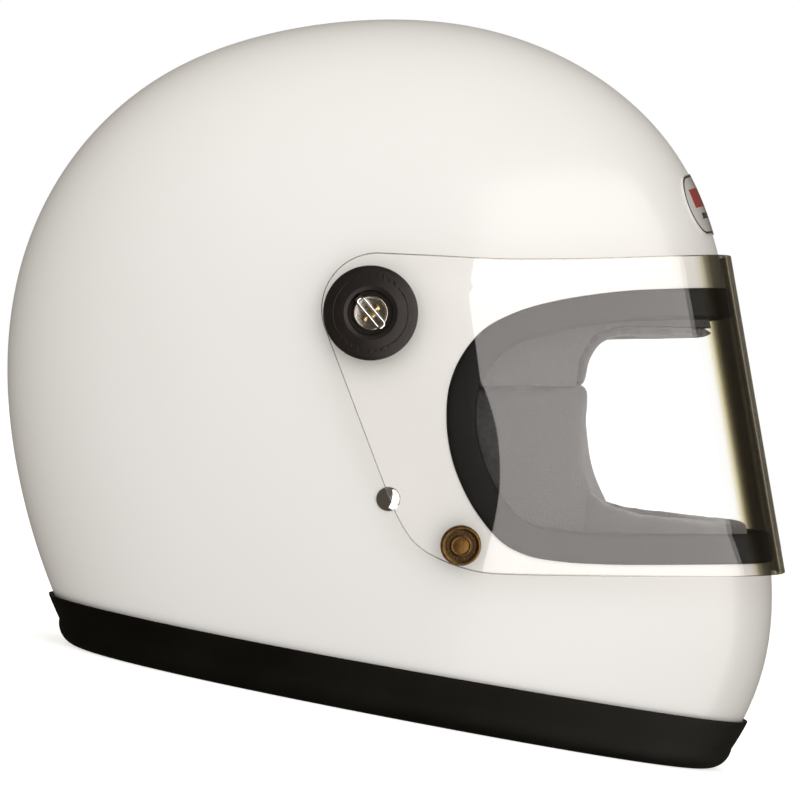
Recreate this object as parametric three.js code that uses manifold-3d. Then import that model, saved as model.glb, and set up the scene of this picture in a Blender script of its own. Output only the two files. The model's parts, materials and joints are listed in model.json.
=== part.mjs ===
// A full-face motorcycle helmet standing on its rim.
// Millimetres, +X to the front, +Y to the wearer's left, +Z up, origin under the middle on the floor.
// Pieces are shaped about the visor pivot, whose axis runs along Y, and then set down on the rim.
import * as THREE from "three";
import { mergeVertices } from "three/addons/utils/BufferGeometryUtils.js";
import Module from "manifold-3d";

const wasm = await Module();
wasm.setup();

// Driving dimensions.
const PIVOT_HEIGHT = 163; // visor pivot above the rim plane
const ATTITUDE = THREE.MathUtils.degToRad(11); // brow-up tip of the standing helmet from its worn pose
const HALF_WIDTH = 122; // shell, at the pivot
const ROUNDNESS = 2.25; // exponent of the shell's cross curve, 2 is an ellipse
const WALL = 3.5; // shell thickness
const GAP = 0.4; // air between pieces that touch
const LIP_GAP = 0.9; // under a rubber lip, whose own facets cut corners
const SAG = 1.5; // how far the facets of a hollow face reach inside its true curve
const SKIN_FACETS = [40, 16]; // round the pivot axis, and from side to side
const LINING_FACETS = [26, 10];
const VISOR_WALL = 2.2;
const VISOR_STAND_OFF = 6.2; // visor's outer face above the shell at the sides
const VISOR_CHIN_STAND_OFF = 7;
const VISOR_BROW_STAND_OFF = 4.9;
const GASKET_PROUD = 1.6;
const GASKET_BAND = 12.5;
const SHELL_CUT = 9; // shell edge inside the gasket's outer line
const WEB = 10.9; // where the gasket closes round that edge
const GASKET_LIP = WALL + 2.2; // inset of the gasket's inner lip
const TRIM_PROUD = 2.3;
const TRIM_HEIGHT = 20;
const TRIM_LIP = WALL + 3.4; // inset of the trim's inner lip
const TRIM_SECTION_X = 40; // middle of the rim, ahead of the pivot
const FOAM_OUTER = WALL + SAG + GAP; // insets from the shell's outer face
const FOAM_INNER = 34;
const LINER_INNER = 42;
const PAD_INNER = 46;
const CHIN_FOAM_INNER = 24;
const PAD_FLOOR = 9.4; // heights above the rim plane
const FOAM_FLOOR = 29.5;
const STRAP_WIDTH = 24;
const STRAP_THICKNESS = 1.6;
const FAR = 320; // beyond every outline

// Radius of the middle profile about the pivot, worn pose: [degrees from the front, millimetres].
const PROFILE = [
  [-90, 242], [-75, 250], [-60, 248], [-50, 240], [-40, 223], [-30, 198], [-20, 175.5],
  [-10, 162], [0, 155], [10, 152], [25, 150], [40, 145.3], [55, 139], [70, 133.3],
  [85, 129.3], [100, 128.7], [115, 132], [130, 138], [150, 146], [170, 153],
  [190, 160], [205, 168], [220, 181], [235, 199], [252, 222],
];

// Side outlines in the worn pose, [forward, up] from the pivot.
const EYEPORT = [
  [FAR, 16], [190, 14], [150.9, 12.2], [124, 10.9], [102.4, 9.4], [74.9, 5], [59.2, 0.3],
  [46.4, -6.6], [37, -17.9], [32.2, -30], [31.1, -43.7], [32.5, -56], [36, -67.5],
  [43, -81], [54, -94], [64.3, -99.4], [78, -102], [96, -103.3], [140, -104.2],
  [190, -105.5], [FAR, -108],
];
const WINDOW = [
  [FAR, -8.4], [104, -8.4], [95, -11.5], [90.5, -19], [89, -29], [89, -60], [91.5, -71],
  [99, -79], [112, -82], [140, -86], [FAR, -96],
];
const VISOR_FRONT = [[155, 26.5], [178.4, -109.6]];
const VISOR_LOBE = { x: 3, z: 1.7, radius: 22.9 };
const STRAP_ANCHOR = [7.2, -76.1];
const SNAP = [36.4, -93.9];
const BADGE = { angle: 19, tilt: 23, width: 100, height: 28 };

const colour = {
  shell: [0xf4f2ee, 0.12, 0], rubber: [0x15130f, 0.55, 0], foam: [0x2a2a2c, 0.9, 0],
  fabric: [0x1d1c1e, 0.95, 0], clear: [0xd9dde0, 0.05, 0], knob: [0x2c2624, 0.5, 0],
  chrome: [0xd5d5d8, 0.12, 1], steel: [0xb9b6ad, 0.25, 1], brass: [0x7b5a33, 0.35, 1],
  nylon: [0x2b2b2d, 0.5, 0], badge: [0xb4242c, 0.3, 0], webbing: [0x17171a, 0.8, 0],
};

// The helmet's own surface.

function radiusAt(angle) {
  const degrees = THREE.MathUtils.euclideanModulo(
    THREE.MathUtils.radToDeg(angle - ATTITUDE) + 90, 360) - 90;
  const count = PROFILE.length;
  const at = (i) => {
    const turn = Math.floor(i / count);
    const [a, r] = PROFILE[i - turn * count];
    return [a + 360 * turn, r];
  };
  let i = 0;
  while (i < count - 1 && at(i + 1)[0] <= degrees) i += 1;
  const [a0, r0] = at(i);
  const [a1, r1] = at(i + 1);
  const slope = (j) => (at(j + 1)[1] - at(j - 1)[1]) / (at(j + 1)[0] - at(j - 1)[0]);
  const span = a1 - a0;
  const t = (degrees - a0) / span;
  const [m0, m1] = [slope(i) * span, slope(i + 1) * span];
  return r0 + t * (m0 + t * (3 * (r1 - r0) - 2 * m0 - m1 + t * (2 * (r0 - r1) + m0 + m1)));
}

// 1 on the surface that lies `inset` inside the shell's outer face, less within it.
function level(x, y, z, inset = 0) {
  const along = Math.hypot(x, z) / (radiusAt(Math.atan2(z, x)) - inset);
  const across = Math.abs(y) / (HALF_WIDTH - inset);
  return (along ** ROUNDNESS + across ** ROUNDNESS) ** (1 / ROUNDNESS);
}

function onShell(point) {
  return point.clone().divideScalar(level(point.x, point.y, point.z));
}

// Moves a point of the outer face along its normal, down to the surface at `inset`.
function sink(point, inset) {
  const normal = normalAt(point);
  let [low, high] = [-12, 24];
  while (high - low > 1e-4) {
    const depth = (low + high) / 2;
    const { x, y, z } = point.clone().addScaledVector(normal, -depth);
    if (level(x, y, z, inset) > 1) low = depth;
    else high = depth;
  }
  return point.clone().addScaledVector(normal, -low);
}

function halfWidthAt(x, z, inset = 0) {
  const along = level(x, 0, z, inset) ** ROUNDNESS;
  return along < 1 ? (HALF_WIDTH - inset) * (1 - along) ** (1 / ROUNDNESS) : 0;
}

function normalAt(point) {
  const step = 0.5;
  const { x, y, z } = point;
  return new THREE.Vector3(
    level(x + step, y, z) - level(x - step, y, z),
    level(x, y + step, z) - level(x, y - step, z),
    level(x, y, z + step) - level(x, y, z - step),
  ).normalize();
}

// The visor's own radius: its front is a flat sheet bent one way, so it is straight from the side.
function visorRadiusAt(angle) {
  const [[x0, z0], [x1, z1]] = VISOR_FRONT;
  const facing = Math.atan2(x1 - x0, z0 - z1);
  const worn = Math.atan2(Math.sin(angle - ATTITUDE), Math.cos(angle - ATTITUDE));
  const distance = x0 * Math.cos(facing) + z0 * Math.sin(facing);
  if (worn > Math.atan2(z0, x0)) return radiusAt(angle) + VISOR_BROW_STAND_OFF;
  if (worn < Math.atan2(z1, x1)) return radiusAt(angle) + VISOR_CHIN_STAND_OFF;
  return distance / Math.cos(worn - facing);
}

// Solids and booleans.

function toSolid(geometry) {
  const bare = geometry.clone();
  bare.deleteAttribute("normal");
  bare.deleteAttribute("uv");
  const merged = mergeVertices(bare, 1e-3);
  const triVerts = new Uint32Array(merged.index.array);
  const vertProperties = merged.attributes.position.array;
  const solid = new wasm.Manifold(new wasm.Mesh({ numProp: 3, vertProperties, triVerts }));
  if (solid.volume() > 0) return solid;
  const turned = triVerts.slice().reverse();
  return new wasm.Manifold(new wasm.Mesh({ numProp: 3, vertProperties, triVerts: turned }));
}

function toGeometry(solid) {
  const mesh = solid.getMesh();
  const geometry = new THREE.BufferGeometry();
  geometry.setAttribute("position", new THREE.BufferAttribute(mesh.vertProperties, 3));
  geometry.setIndex(new THREE.BufferAttribute(mesh.triVerts, 1));
  geometry.computeVertexNormals();
  return geometry;
}

// A closed body through rings of equally many points, with flat ends unless it joins up.
function loft(rings, joined = false) {
  const size = rings[0].length;
  const points = rings.flat();
  const faces = [];
  const last = joined ? rings.length : rings.length - 1;
  for (let i = 0; i < last; i += 1) {
    for (let j = 0; j < size; j += 1) {
      const [a, b] = [i * size + j, i * size + ((j + 1) % size)];
      const shift = ((i + 1) % rings.length) * size - i * size;
      faces.push(a, b, b + shift, a, b + shift, a + shift);
    }
  }
  if (!joined) {
    for (const [start, flip] of [[0, true], [(rings.length - 1) * size, false]]) {
      for (let j = 1; j < size - 1; j += 1) {
        const fan = [start, start + j, start + j + 1];
        faces.push(...(flip ? fan.reverse() : fan));
      }
    }
  }
  const geometry = new THREE.BufferGeometry().setFromPoints(points);
  geometry.setIndex(faces);
  return toGeometry(toSolid(geometry));
}

// A domed body about the pivot: radius gives its middle profile, and halfWidth its reach to each side.
function dome(radius, halfWidth, [columns, rows] = SKIN_FACETS) {
  const points = [new THREE.Vector3(0, halfWidth, 0)];
  for (let row = 1; row < rows; row += 1) {
    const lean = (Math.PI * row) / rows;
    const share = Math.sin(lean) ** (2 / ROUNDNESS);
    const y = halfWidth * Math.sign(Math.cos(lean)) * Math.abs(Math.cos(lean)) ** (2 / ROUNDNESS);
    for (let column = 0; column < columns; column += 1) {
      const angle = (2 * Math.PI * column) / columns;
      const r = share * radius(angle);
      points.push(new THREE.Vector3(r * Math.cos(angle), y, r * Math.sin(angle)));
    }
  }
  points.push(new THREE.Vector3(0, -halfWidth, 0));
  const faces = [];
  const end = points.length - 1;
  for (let column = 0; column < columns; column += 1) {
    const next = (column + 1) % columns;
    faces.push(0, 1 + next, 1 + column);
    faces.push(end, end - columns + column, end - columns + next);
    for (let row = 0; row < rows - 2; row += 1) {
      const [a, b] = [1 + row * columns + column, 1 + row * columns + next];
      faces.push(a, b, b + columns, a, b + columns, a + columns);
    }
  }
  const geometry = new THREE.BufferGeometry().setFromPoints(points);
  geometry.setIndex(faces);
  return toSolid(geometry);
}

const shellDome = (inset, facets) =>
  dome((angle) => radiusAt(angle) - inset, HALF_WIDTH - inset, facets);
const layer = (outer, inner, facets) => shellDome(outer, facets).subtract(shellDome(inner, facets));
const lining = (outer, inner) => layer(outer, inner, LINING_FACETS);

// Turns a point of the worn side view into the standing one.
function stand([x, z]) {
  const [c, s] = [Math.cos(ATTITUDE), Math.sin(ATTITUDE)];
  return [x * c - z * s, x * s + z * c];
}

// A solid of a standing side outline, from y0 to y1.
function prism(outline, y0 = -FAR, y1 = FAR) {
  const shape = new THREE.Shape(outline.map(([x, z]) => new THREE.Vector2(x, z)));
  const geometry = new THREE.ExtrudeGeometry(shape, { depth: y1 - y0, bevelEnabled: false });
  return toSolid(geometry.rotateX(Math.PI / 2).translate(0, y1, 0));
}

// The part of space from one height above the rim plane to another.
function slab(low, high) {
  const [z0, z1] = [low - PIVOT_HEIGHT, high - PIVOT_HEIGHT];
  return prism([[-FAR, z0], [FAR, z0], [FAR, z1], [-FAR, z1]]);
}

function smooth(points, count) {
  const curve = new THREE.CatmullRomCurve3(
    points.map(([x, z]) => new THREE.Vector3(x, 0, z)), false, "centripetal");
  return curve.getPoints(count).map((p) => [p.x, p.z]);
}

// A side outline moved inwards, where it is listed from the top front round the rear to the bottom front.
function movedIn(outline, distance) {
  return outline.map(([x, z], i) => {
    const [px, pz] = outline[Math.max(i - 1, 0)];
    const [nx, nz] = outline[Math.min(i + 1, outline.length - 1)];
    const length = Math.hypot(nx - px, nz - pz);
    return [x - (distance * (nz - pz)) / length, z + (distance * (nx - px)) / length];
  });
}

const eyeport = smooth(EYEPORT, 50).map(stand);
const eyeWindow = WINDOW.map(stand);

// A place on the shell's outer face whose local +Y points straight out of it.
function seat([x, z], lift = 0) {
  const point = new THREE.Vector3(x, halfWidthAt(x, z), z);
  const normal = normalAt(point);
  const group = new THREE.Group();
  group.position.copy(point).addScaledVector(normal, lift);
  group.quaternion.setFromUnitVectors(new THREE.Vector3(0, 1, 0), normal);
  group.updateMatrix();
  return group;
}

// A round drill through both sides at a seat.
function drill(place, radius, from, to, sides = 20) {
  const tool = new THREE.CylinderGeometry(radius, radius, to - from, sides)
    .translate(0, (from + to) / 2, 0)
    .applyMatrix4(place.matrix);
  const mirrored = tool.clone().applyMatrix4(new THREE.Matrix4().makeScale(1, -1, 1));
  return toSolid(tool).add(toSolid(mirrored));
}

// Pieces.

const root = new THREE.Group();
const helmet = new THREE.Group();
root.add(helmet);

function piece(name, shape, look, parent = helmet) {
  const [color, roughness, metalness] = colour[look];
  const material = new THREE.MeshStandardMaterial({ color, roughness, metalness });
  const mesh = new THREE.Mesh(shape.isBufferGeometry ? shape : toGeometry(shape), material);
  mesh.name = name;
  parent.add(mesh);
  return mesh;
}

const pivotSeat = new THREE.Group();
const strapSeat = seat(stand(STRAP_ANCHOR));
const snapSeat = seat(stand(SNAP));

// The straps swing in a wedge-shaped slot of the lining below their anchors.
function strapSlot(spread = 0) {
  const [x, z] = stand(STRAP_ANCHOR);
  const radius = 16.5 + spread;
  const lean = THREE.MathUtils.degToRad(19);
  const points = [];
  for (let i = 0; i <= 12; i += 1) {
    const angle = -lean + ((Math.PI + 2 * lean) * i) / 12;
    points.push([x + radius * Math.cos(angle), z + radius * Math.sin(angle)]);
  }
  const [right, left] = [points[0], points[12]];
  const drop = left[1] + PIVOT_HEIGHT;
  points.push([left[0] - drop * Math.tan(lean), -PIVOT_HEIGHT]);
  points.push([right[0] + drop * Math.tan(lean), -PIVOT_HEIGHT]);
  return prism(points);
}

// Outline of a cheek pad: between the strap slot and the eye window, below the temple.
function padOutline(spread) {
  const front = [89 + spread, -30 + spread];
  const rear = [26 - spread, -30 + spread];
  return [front, rear, [-4 - spread, -FAR], [89 + spread, -FAR]].map(stand);
}

// The face side of the lining: the eye window, and everything below it ahead of the cheek pads.
function faceSpace(spread) {
  const below = [[89 - spread, -30], [FAR, -30], [FAR, -FAR], [89 - spread, -FAR]].map(stand);
  return prism(movedIn(eyeWindow, -spread)).add(prism(below));
}

// Room that every inner piece leaves for the gasket's and the rim trim's inner lips.
function lipRoom() {
  const gasketRoom = prism(movedIn(eyeport, 2)).subtract(shellDome(9));
  return gasketRoom.add(slab(-1, 18.8).subtract(shellDome(TRIM_LIP + 4)));
}

function outerShell() {
  const opening = prism(movedIn(eyeport, SHELL_CUT));
  return layer(0, WALL)
    .intersect(slab(8, 2 * FAR))
    .subtract(opening)
    .subtract(drill(pivotSeat, 6.4, 100, 130))
    .subtract(drill(strapSeat, 2.9, -8, 5, 12))
    .subtract(drill(snapSeat, 2, -8, 5, 12));
}

function foamLiner() {
  return lining(FOAM_OUTER, FOAM_INNER)
    .intersect(slab(FOAM_FLOOR, 2 * FAR))
    .subtract(faceSpace(4))
    .subtract(prism(padOutline(GAP)))
    .subtract(strapSlot())
    .subtract(lipRoom())
    .subtract(drill(pivotSeat, 13, 106, 130));
}

function comfortLiner() {
  const inside = lining(FOAM_INNER + 0.6, LINER_INNER);
  const wrap = lining(FOAM_OUTER, FOAM_INNER + 1).intersect(faceSpace(3.6));
  return inside
    .add(wrap)
    .intersect(slab(FOAM_FLOOR, 2 * FAR))
    .subtract(faceSpace(0))
    .subtract(prism(padOutline(GAP)))
    .subtract(strapSlot())
    .subtract(lipRoom());
}

function cheekPad(side) {
  return lining(FOAM_OUTER, PAD_INNER)
    .intersect(prism(padOutline(0), side > 0 ? 0 : -FAR, side > 0 ? FAR : 0))
    .intersect(slab(PAD_FLOOR, FAR))
    .subtract(strapSlot(GAP))
    .subtract(lipRoom());
}

function chinFoam() {
  const rear = [[89 + GAP, -30], [FAR, -30], [FAR, -FAR], [89 + GAP, -FAR]].map(stand);
  return lining(FOAM_OUTER, CHIN_FOAM_INNER)
    .intersect(prism(rear))
    .intersect(slab(PAD_FLOOR, FAR))
    .subtract(prism(eyeWindow))
    .subtract(lipRoom());
}

function neckRoll() {
  const rear = stand(STRAP_ANCHOR)[0] - 48;
  const [low, high] = [PAD_FLOOR - PIVOT_HEIGHT, FOAM_FLOOR - 0.6 - PIVOT_HEIGHT];
  return lining(TRIM_LIP + 4.4, 31)
    .intersect(prism([[-FAR, low], [rear, low], [rear, high], [-FAR, high]]));
}

// Distance from the rim's middle to the shell, at an angle round it.
function sectionRadius(angle, height, inset) {
  let [near, far] = [0, FAR];
  while (far - near > 1e-3) {
    const r = (near + far) / 2;
    const x = TRIM_SECTION_X + r * Math.cos(angle);
    if (level(x, r * Math.sin(angle), height - PIVOT_HEIGHT, inset) < 1) near = r;
    else far = r;
  }
  return near;
}

// A rubber channel over the shell's lower edge, with a round outer foot and a flat land to stand on.
function rimTrim() {
  const corner = 10;
  const land = 11;
  const inner = corner + land;
  const rings = [];
  const stations = 46;
  for (let i = 0; i < stations; i += 1) {
    const angle = (2 * Math.PI * i) / stations;
    const top = TRIM_HEIGHT + 1.5 * (1 + Math.cos(angle));
    const outside = (height) => sectionRadius(angle, height, -TRIM_PROUD);
    const foot = outside(corner);
    const profile = [[sectionRadius(angle, top, -LIP_GAP), top]];
    profile.push([sectionRadius(angle, top, 0.7 - TRIM_PROUD), top]);
    profile.push([outside(top - 1.4), top - 1.4]);
    profile.push([foot, corner]);
    for (const turn of [30, 60, 90]) {
      const a = THREE.MathUtils.degToRad(turn);
      profile.push([foot - corner * (1 - Math.cos(a)), corner * (1 - Math.sin(a))]);
    }
    profile.push([foot - inner, 0]);
    profile.push([foot - inner - 1.5, 2]);
    profile.push([foot - inner - 1.5, 8.6]);
    profile.push([sectionRadius(angle, 8.6, TRIM_LIP + 2), 8.6]);
    profile.push([sectionRadius(angle, 18, TRIM_LIP + 2), 18]);
    profile.push([sectionRadius(angle, 18, TRIM_LIP), 18]);
    profile.push([sectionRadius(angle, 7.6, TRIM_LIP), 7.6]);
    profile.push([sectionRadius(angle, 7.6, -LIP_GAP), 7.6]);
    rings.push(profile.map(([r, height]) => new THREE.Vector3(
      TRIM_SECTION_X + r * Math.cos(angle), r * Math.sin(angle), height - PIVOT_HEIGHT)));
  }
  return loft(rings, true);
}

// The eyeport's outer line on the shell, all the way round: closer steps where it crosses the front.
function eyeportLoop() {
  const fine = smooth(EYEPORT, 900).map(stand);
  const rear = fine.findIndex((p) => p[0] === Math.min(...fine.map((q) => q[0])));
  const half = [];
  const frontSteps = 7;
  const sideWidth = 92;
  const between = (m) => {
    const [i, f] = [Math.floor(m), m % 1];
    const next = fine[Math.min(i + 1, fine.length - 1)];
    return [fine[i][0] * (1 - f) + next[0] * f, fine[i][1] * (1 - f) + next[1] * f];
  };
  const crossing = (from, to, y) => {
    let [a, b] = [from, to];
    while (Math.abs(a - b) > 1e-4) {
      const m = (a + b) / 2;
      if (halfWidthAt(...between(m)) <= y) a = m;
      else b = m;
    }
    return a;
  };
  const place = (m, y) => {
    const [x, z] = between(m);
    return new THREE.Vector3(x, y ?? halfWidthAt(x, z), z);
  };
  const widths = Array.from({ length: frontSteps + 1 }, (_, i) =>
    sideWidth * Math.sin((Math.PI / 2) * (i / frontSteps)));
  for (const y of widths) half.push(place(crossing(0, rear, y), y));
  const [start, stop] = [crossing(0, rear, sideWidth), crossing(fine.length - 1, rear, sideWidth)];
  const sideSteps = 16;
  for (let i = 1; i < sideSteps; i += 1) {
    const share = (1 - Math.cos((Math.PI * i) / sideSteps)) / 2;
    half.push(place(start + (stop - start) * share));
  }
  for (const y of widths.reverse()) half.push(place(crossing(fine.length - 1, rear, y), y));
  const mirror = half.slice(1, -1).reverse().map((p) => new THREE.Vector3(p.x, -p.y, p.z));
  return half.concat(mirror);
}

// A rubber U that grips the shell's edge all round the eyeport.
function eyeportGasket() {
  const profile = [
    [0, -LIP_GAP], [0.8, -1.4], [3, -GASKET_PROUD], [11, -GASKET_PROUD], [GASKET_BAND, -GAP],
    [GASKET_BAND, 6.6], [11.5, 7.2], [3.2, 7.2], [3.2, GASKET_LIP], [WEB, GASKET_LIP], [WEB, -LIP_GAP],
  ];
  const line = eyeportLoop();
  const centre = new THREE.Vector3(110, 0, -48);
  const rings = line.map((point, i) => {
    const along = line[(i + 1) % line.length].clone().sub(line.at(i - 1));
    const inward = new THREE.Vector3().crossVectors(normalAt(point), along).normalize();
    if (inward.dot(centre.clone().sub(point)) < 0) inward.negate();
    return profile.map(([u, inset]) => sink(onShell(point.clone().addScaledVector(inward, u)), inset));
  });
  return loft(rings, true);
}

function visorShape() {
  const { x, z, radius } = VISOR_LOBE;
  const shape = new THREE.Shape();
  shape.moveTo(FAR, 33);
  shape.lineTo(155, 26.5);
  shape.splineThru([[120, 24.2], [85, 22.7], [54, 22.3], [25, 23.6], [x, z + radius]]
    .map((p) => new THREE.Vector2(...p)));
  shape.absarc(x, z, radius, Math.PI / 2, THREE.MathUtils.degToRad(200.7), false);
  shape.lineTo(5.9, -70.7);
  shape.splineThru([[12.4, -85.9], [18.8, -94.8], [29.2, -101.2], [44.8, -106.2], [60, -107.3]]
    .map((p) => new THREE.Vector2(...p)));
  shape.lineTo(178.4, -109.6);
  shape.lineTo(FAR, -113.5);
  return shape.getPoints(4).map((p) => stand([p.x, p.y]));
}

function visorShield() {
  const outer = dome(visorRadiusAt, HALF_WIDTH + VISOR_STAND_OFF);
  const inner = dome((a) => visorRadiusAt(a) - VISOR_WALL, HALF_WIDTH + VISOR_STAND_OFF - VISOR_WALL);
  return outer
    .subtract(inner)
    .intersect(prism(visorShape()))
    .subtract(drill(pivotSeat, 8.7, 110, 140, 28))
    .subtract(drill(snapSeat, 2.2, 1, 10, 12));
}

// A pill-shaped transfer on the brow.
function foreheadBadge() {
  const { angle, tilt, width, height } = BADGE;
  const shape = new THREE.Shape();
  const [reach, radius] = [width / 2 - height / 2, height / 2];
  shape.absarc(reach, 0, radius, -Math.PI / 2, Math.PI / 2, false);
  shape.absarc(-reach, 0, radius, Math.PI / 2, 1.5 * Math.PI, false);
  const geometry = new THREE.ExtrudeGeometry(shape, { depth: 80, bevelEnabled: false, curveSegments: 6 });
  const place = THREE.MathUtils.degToRad(angle) + ATTITUDE;
  const r = radiusAt(place);
  geometry.rotateX(Math.PI / 2).rotateZ(-Math.PI / 2).translate(40, 0, 0);
  geometry.rotateY(-THREE.MathUtils.degToRad(tilt) - ATTITUDE);
  geometry.translate(r * Math.cos(place), 0, r * Math.sin(place));
  return layer(-0.75, -GAP).intersect(toSolid(geometry));
}

// Turned hardware: a lathe profile of [radius, distance out], closed on itself.
function turned(profile, segments = 14) {
  const closed = profile[0][0] === 0 ? profile : [...profile, profile[0]];
  const points = closed.map(([r, y]) => new THREE.Vector2(r, y));
  return toGeometry(toSolid(new THREE.LatheGeometry(points, segments)));
}

const ring = (inner, outer, low, high) => turned([[inner, low], [outer, low], [outer, high], [inner, high]]);

// Distances out from the middle plane, along the pivot.
const KNOB_BASE = 129;
const HEAD_BASE = KNOB_BASE + 2.6;

function pivotKnob() {
  const b = KNOB_BASE;
  return turned([
    [3.6, b], [18.6, b], [19.5, b + 0.8], [19.3, b + 1.9], [18, b + 2.9], [13, b + 5], [11.2, b + 5.5],
    [10.4, b + 5.6], [9.5, b + 4.8], [9, b + 3.8], [9, b + 2.3], [3.6, b + 2.3],
  ], 22);
}

// Quarter-turn stud: a rimmed head with a lug for its wire bail, and a shank into the insert.
function fastenerStud() {
  const h = HEAD_BASE;
  const body = toSolid(turned([
    [0, 109], [2.4, 109], [2.9, 109.6], [2.9, h], [7.1, h], [7.1, h + 2], [6.1, h + 2], [6.1, h + 1],
    [2.3, h + 1], [2.1, h + 1.8], [0, h + 1.8],
  ]));
  const lug = new THREE.BoxGeometry(2.4, 3.6, 1).translate(-BAIL.hinge, h + 2.3, 0);
  const bore = new THREE.CylinderGeometry(0.85, 0.85, 4, 12).rotateX(Math.PI / 2)
    .translate(-BAIL.hinge, h + BAIL.height, 0);
  return toGeometry(body.add(toSolid(lug)).subtract(toSolid(bore)));
}

// Wire bail: a narrow loop along X, hinged at its -X end.
const BAIL = { hinge: 7.35, height: 2.9, half: 1.55, corner: 0.9, wire: 0.55, slant: 39 };

function wireBail() {
  const { hinge, half, corner, wire } = BAIL;
  const centres = [];
  for (const [sx, sz] of [[1, 1], [-1, 1], [-1, -1], [1, -1]]) {
    for (const step of [0, 0.5, 1]) {
      const turn = Math.round((Math.atan2(sz, sx) - Math.PI / 4) / (Math.PI / 2)) * (Math.PI / 2);
      const angle = turn + step * (Math.PI / 2);
      const [cx, cz] = [sx * (hinge - corner), sz * (half - corner)];
      centres.push([cx + corner * Math.cos(angle), cz + corner * Math.sin(angle)]);
    }
  }
  const rings = centres.map(([x, z], i) => {
    const [px, pz] = centres.at(i - 1);
    const [nx, nz] = centres[(i + 1) % centres.length];
    const out = new THREE.Vector3(nz - pz, 0, px - nx).normalize();
    return Array.from({ length: 8 }, (_, k) => {
      const a = (2 * Math.PI * k) / 8;
      return new THREE.Vector3(x, HEAD_BASE + BAIL.height + wire * Math.sin(a), z)
        .addScaledVector(out, wire * Math.cos(a));
    });
  });
  return loft(rings, true);
}

// Everything that is the same on both sides; the right side is the mirror image.
function sideHardware(side, sign) {
  const group = new THREE.Group();
  group.scale.y = sign;
  helmet.add(group);
  const [strap, snap] = [strapSeat.clone(), snapSeat.clone()];
  const diagonal = new THREE.Group();
  diagonal.rotation.y = THREE.MathUtils.degToRad(BAIL.slant);
  group.add(strap, snap, diagonal);
  const insert = [[3.3, 114.6], [12, 114.6], [12, 117.4], [6, 118], [6, 121.6], [3.3, 121.6]];
  piece(`${side}_pivot_insert`, turned(insert), "steel", group);
  piece(`${side}_base_washer`, ring(8.8, 16, 122.4, 124.4), "nylon", group);
  piece(`${side}_pivot_bush`, ring(3.6, 8.3, 122.4, KNOB_BASE - 0.4), "nylon", group);
  piece(`${side}_pivot_knob`, pivotKnob(), "knob", group);
  piece(`${side}_fastener_stud`, fastenerStud(), "steel", diagonal);
  piece(`${side}_fastener_bail`, wireBail(), "steel", diagonal);
  const rivet = [
    [0, -12], [4.4, -12], [4.4, -10.6], [2.5, -10.4], [2.5, 0.4], [5.3, 0.4], [5, 1.2], [3.8, 1.9],
    [2, 2.2], [0, 2.3],
  ];
  piece(`${side}_strap_rivet`, turned(rivet), "chrome", strap);
  piece(`${side}_strap_washer`, ring(2.9, 6.5, -10, -8.9), "steel", strap);
  const stud = [
    [0, -3.2], [1.6, -3.2], [1.6, 0.4], [5, 0.4], [5, 0.8], [2.2, 1.1], [1.9, 1.3], [2.2, 1.7],
    [1.6, 2], [0, 2],
  ];
  piece(`${side}_snap_stud`, turned(stud, 10), "brass", snap);
  piece(`${side}_snap_socket`, ring(2.1, 5.2, 2.4, 3.2), "brass", snap);
  const cap = [
    [0, 2.6], [1.7, 2.6], [1.7, 6.5], [8, 6.5], [8.4, 6.9], [8.4, 8.3], [7.8, 9.1], [7, 8.9],
    [6.6, 8.5], [4.4, 8.6], [4, 9], [0, 9.2],
  ];
  piece(`${side}_snap_cap`, turned(cap), "brass", snap);
}

// Chin strap: buckled, hanging in a loop between its anchors, all in the plane across the anchors.

const STRAP_X = stand(STRAP_ANCHOR)[0];

function ribbon(path, width, thickness = STRAP_THICKNESS) {
  const rings = path.map(([y, z], i) => {
    const [py, pz] = path[Math.max(i - 1, 0)];
    const [ny, nz] = path[Math.min(i + 1, path.length - 1)];
    const length = Math.hypot(ny - py, nz - pz);
    const [oy, oz] = [(-(nz - pz) / length) * (thickness / 2), ((ny - py) / length) * (thickness / 2)];
    return [[-1, -1], [1, -1], [1, 1], [-1, 1]].map(([across, out]) => new THREE.Vector3(
      STRAP_X + (across * width) / 2, y + out * oy, z + out * oz));
  });
  return loft(rings);
}

function alongPlane(points, count) {
  const curve = new THREE.CatmullRomCurve3(
    points.map(([y, z]) => new THREE.Vector3(0, y, z)), false, "centripetal");
  return curve.getSpacedPoints(count).map((p) => [p.y, p.z]);
}

// [y, z] from the left anchor down towards the middle; the right strap falls as its mirror image.
const STRAP_FALL = [
  [111.4, -63], [111.4, -74], [111.1, -85], [105.5, -99], [94, -114], [77, -128], [60, -137],
];
const RINGS = { y: 37, z: -144.5, arm: 13, reach: 21, half: 14.2, wire: 1.6 };
const EYE = { length: 1.9, hole: 2.1, wall: 1.5 };

function strapBore() {
  const tool = new THREE.CylinderGeometry(3.7, 3.7, 12, 12);
  const [x, z] = stand(STRAP_ANCHOR);
  tool.translate(x, halfWidthAt(x, z) - 7, z);
  const mirrored = tool.clone().applyMatrix4(new THREE.Matrix4().makeScale(1, -1, 1));
  return toSolid(tool).add(toSolid(mirrored));
}

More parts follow.
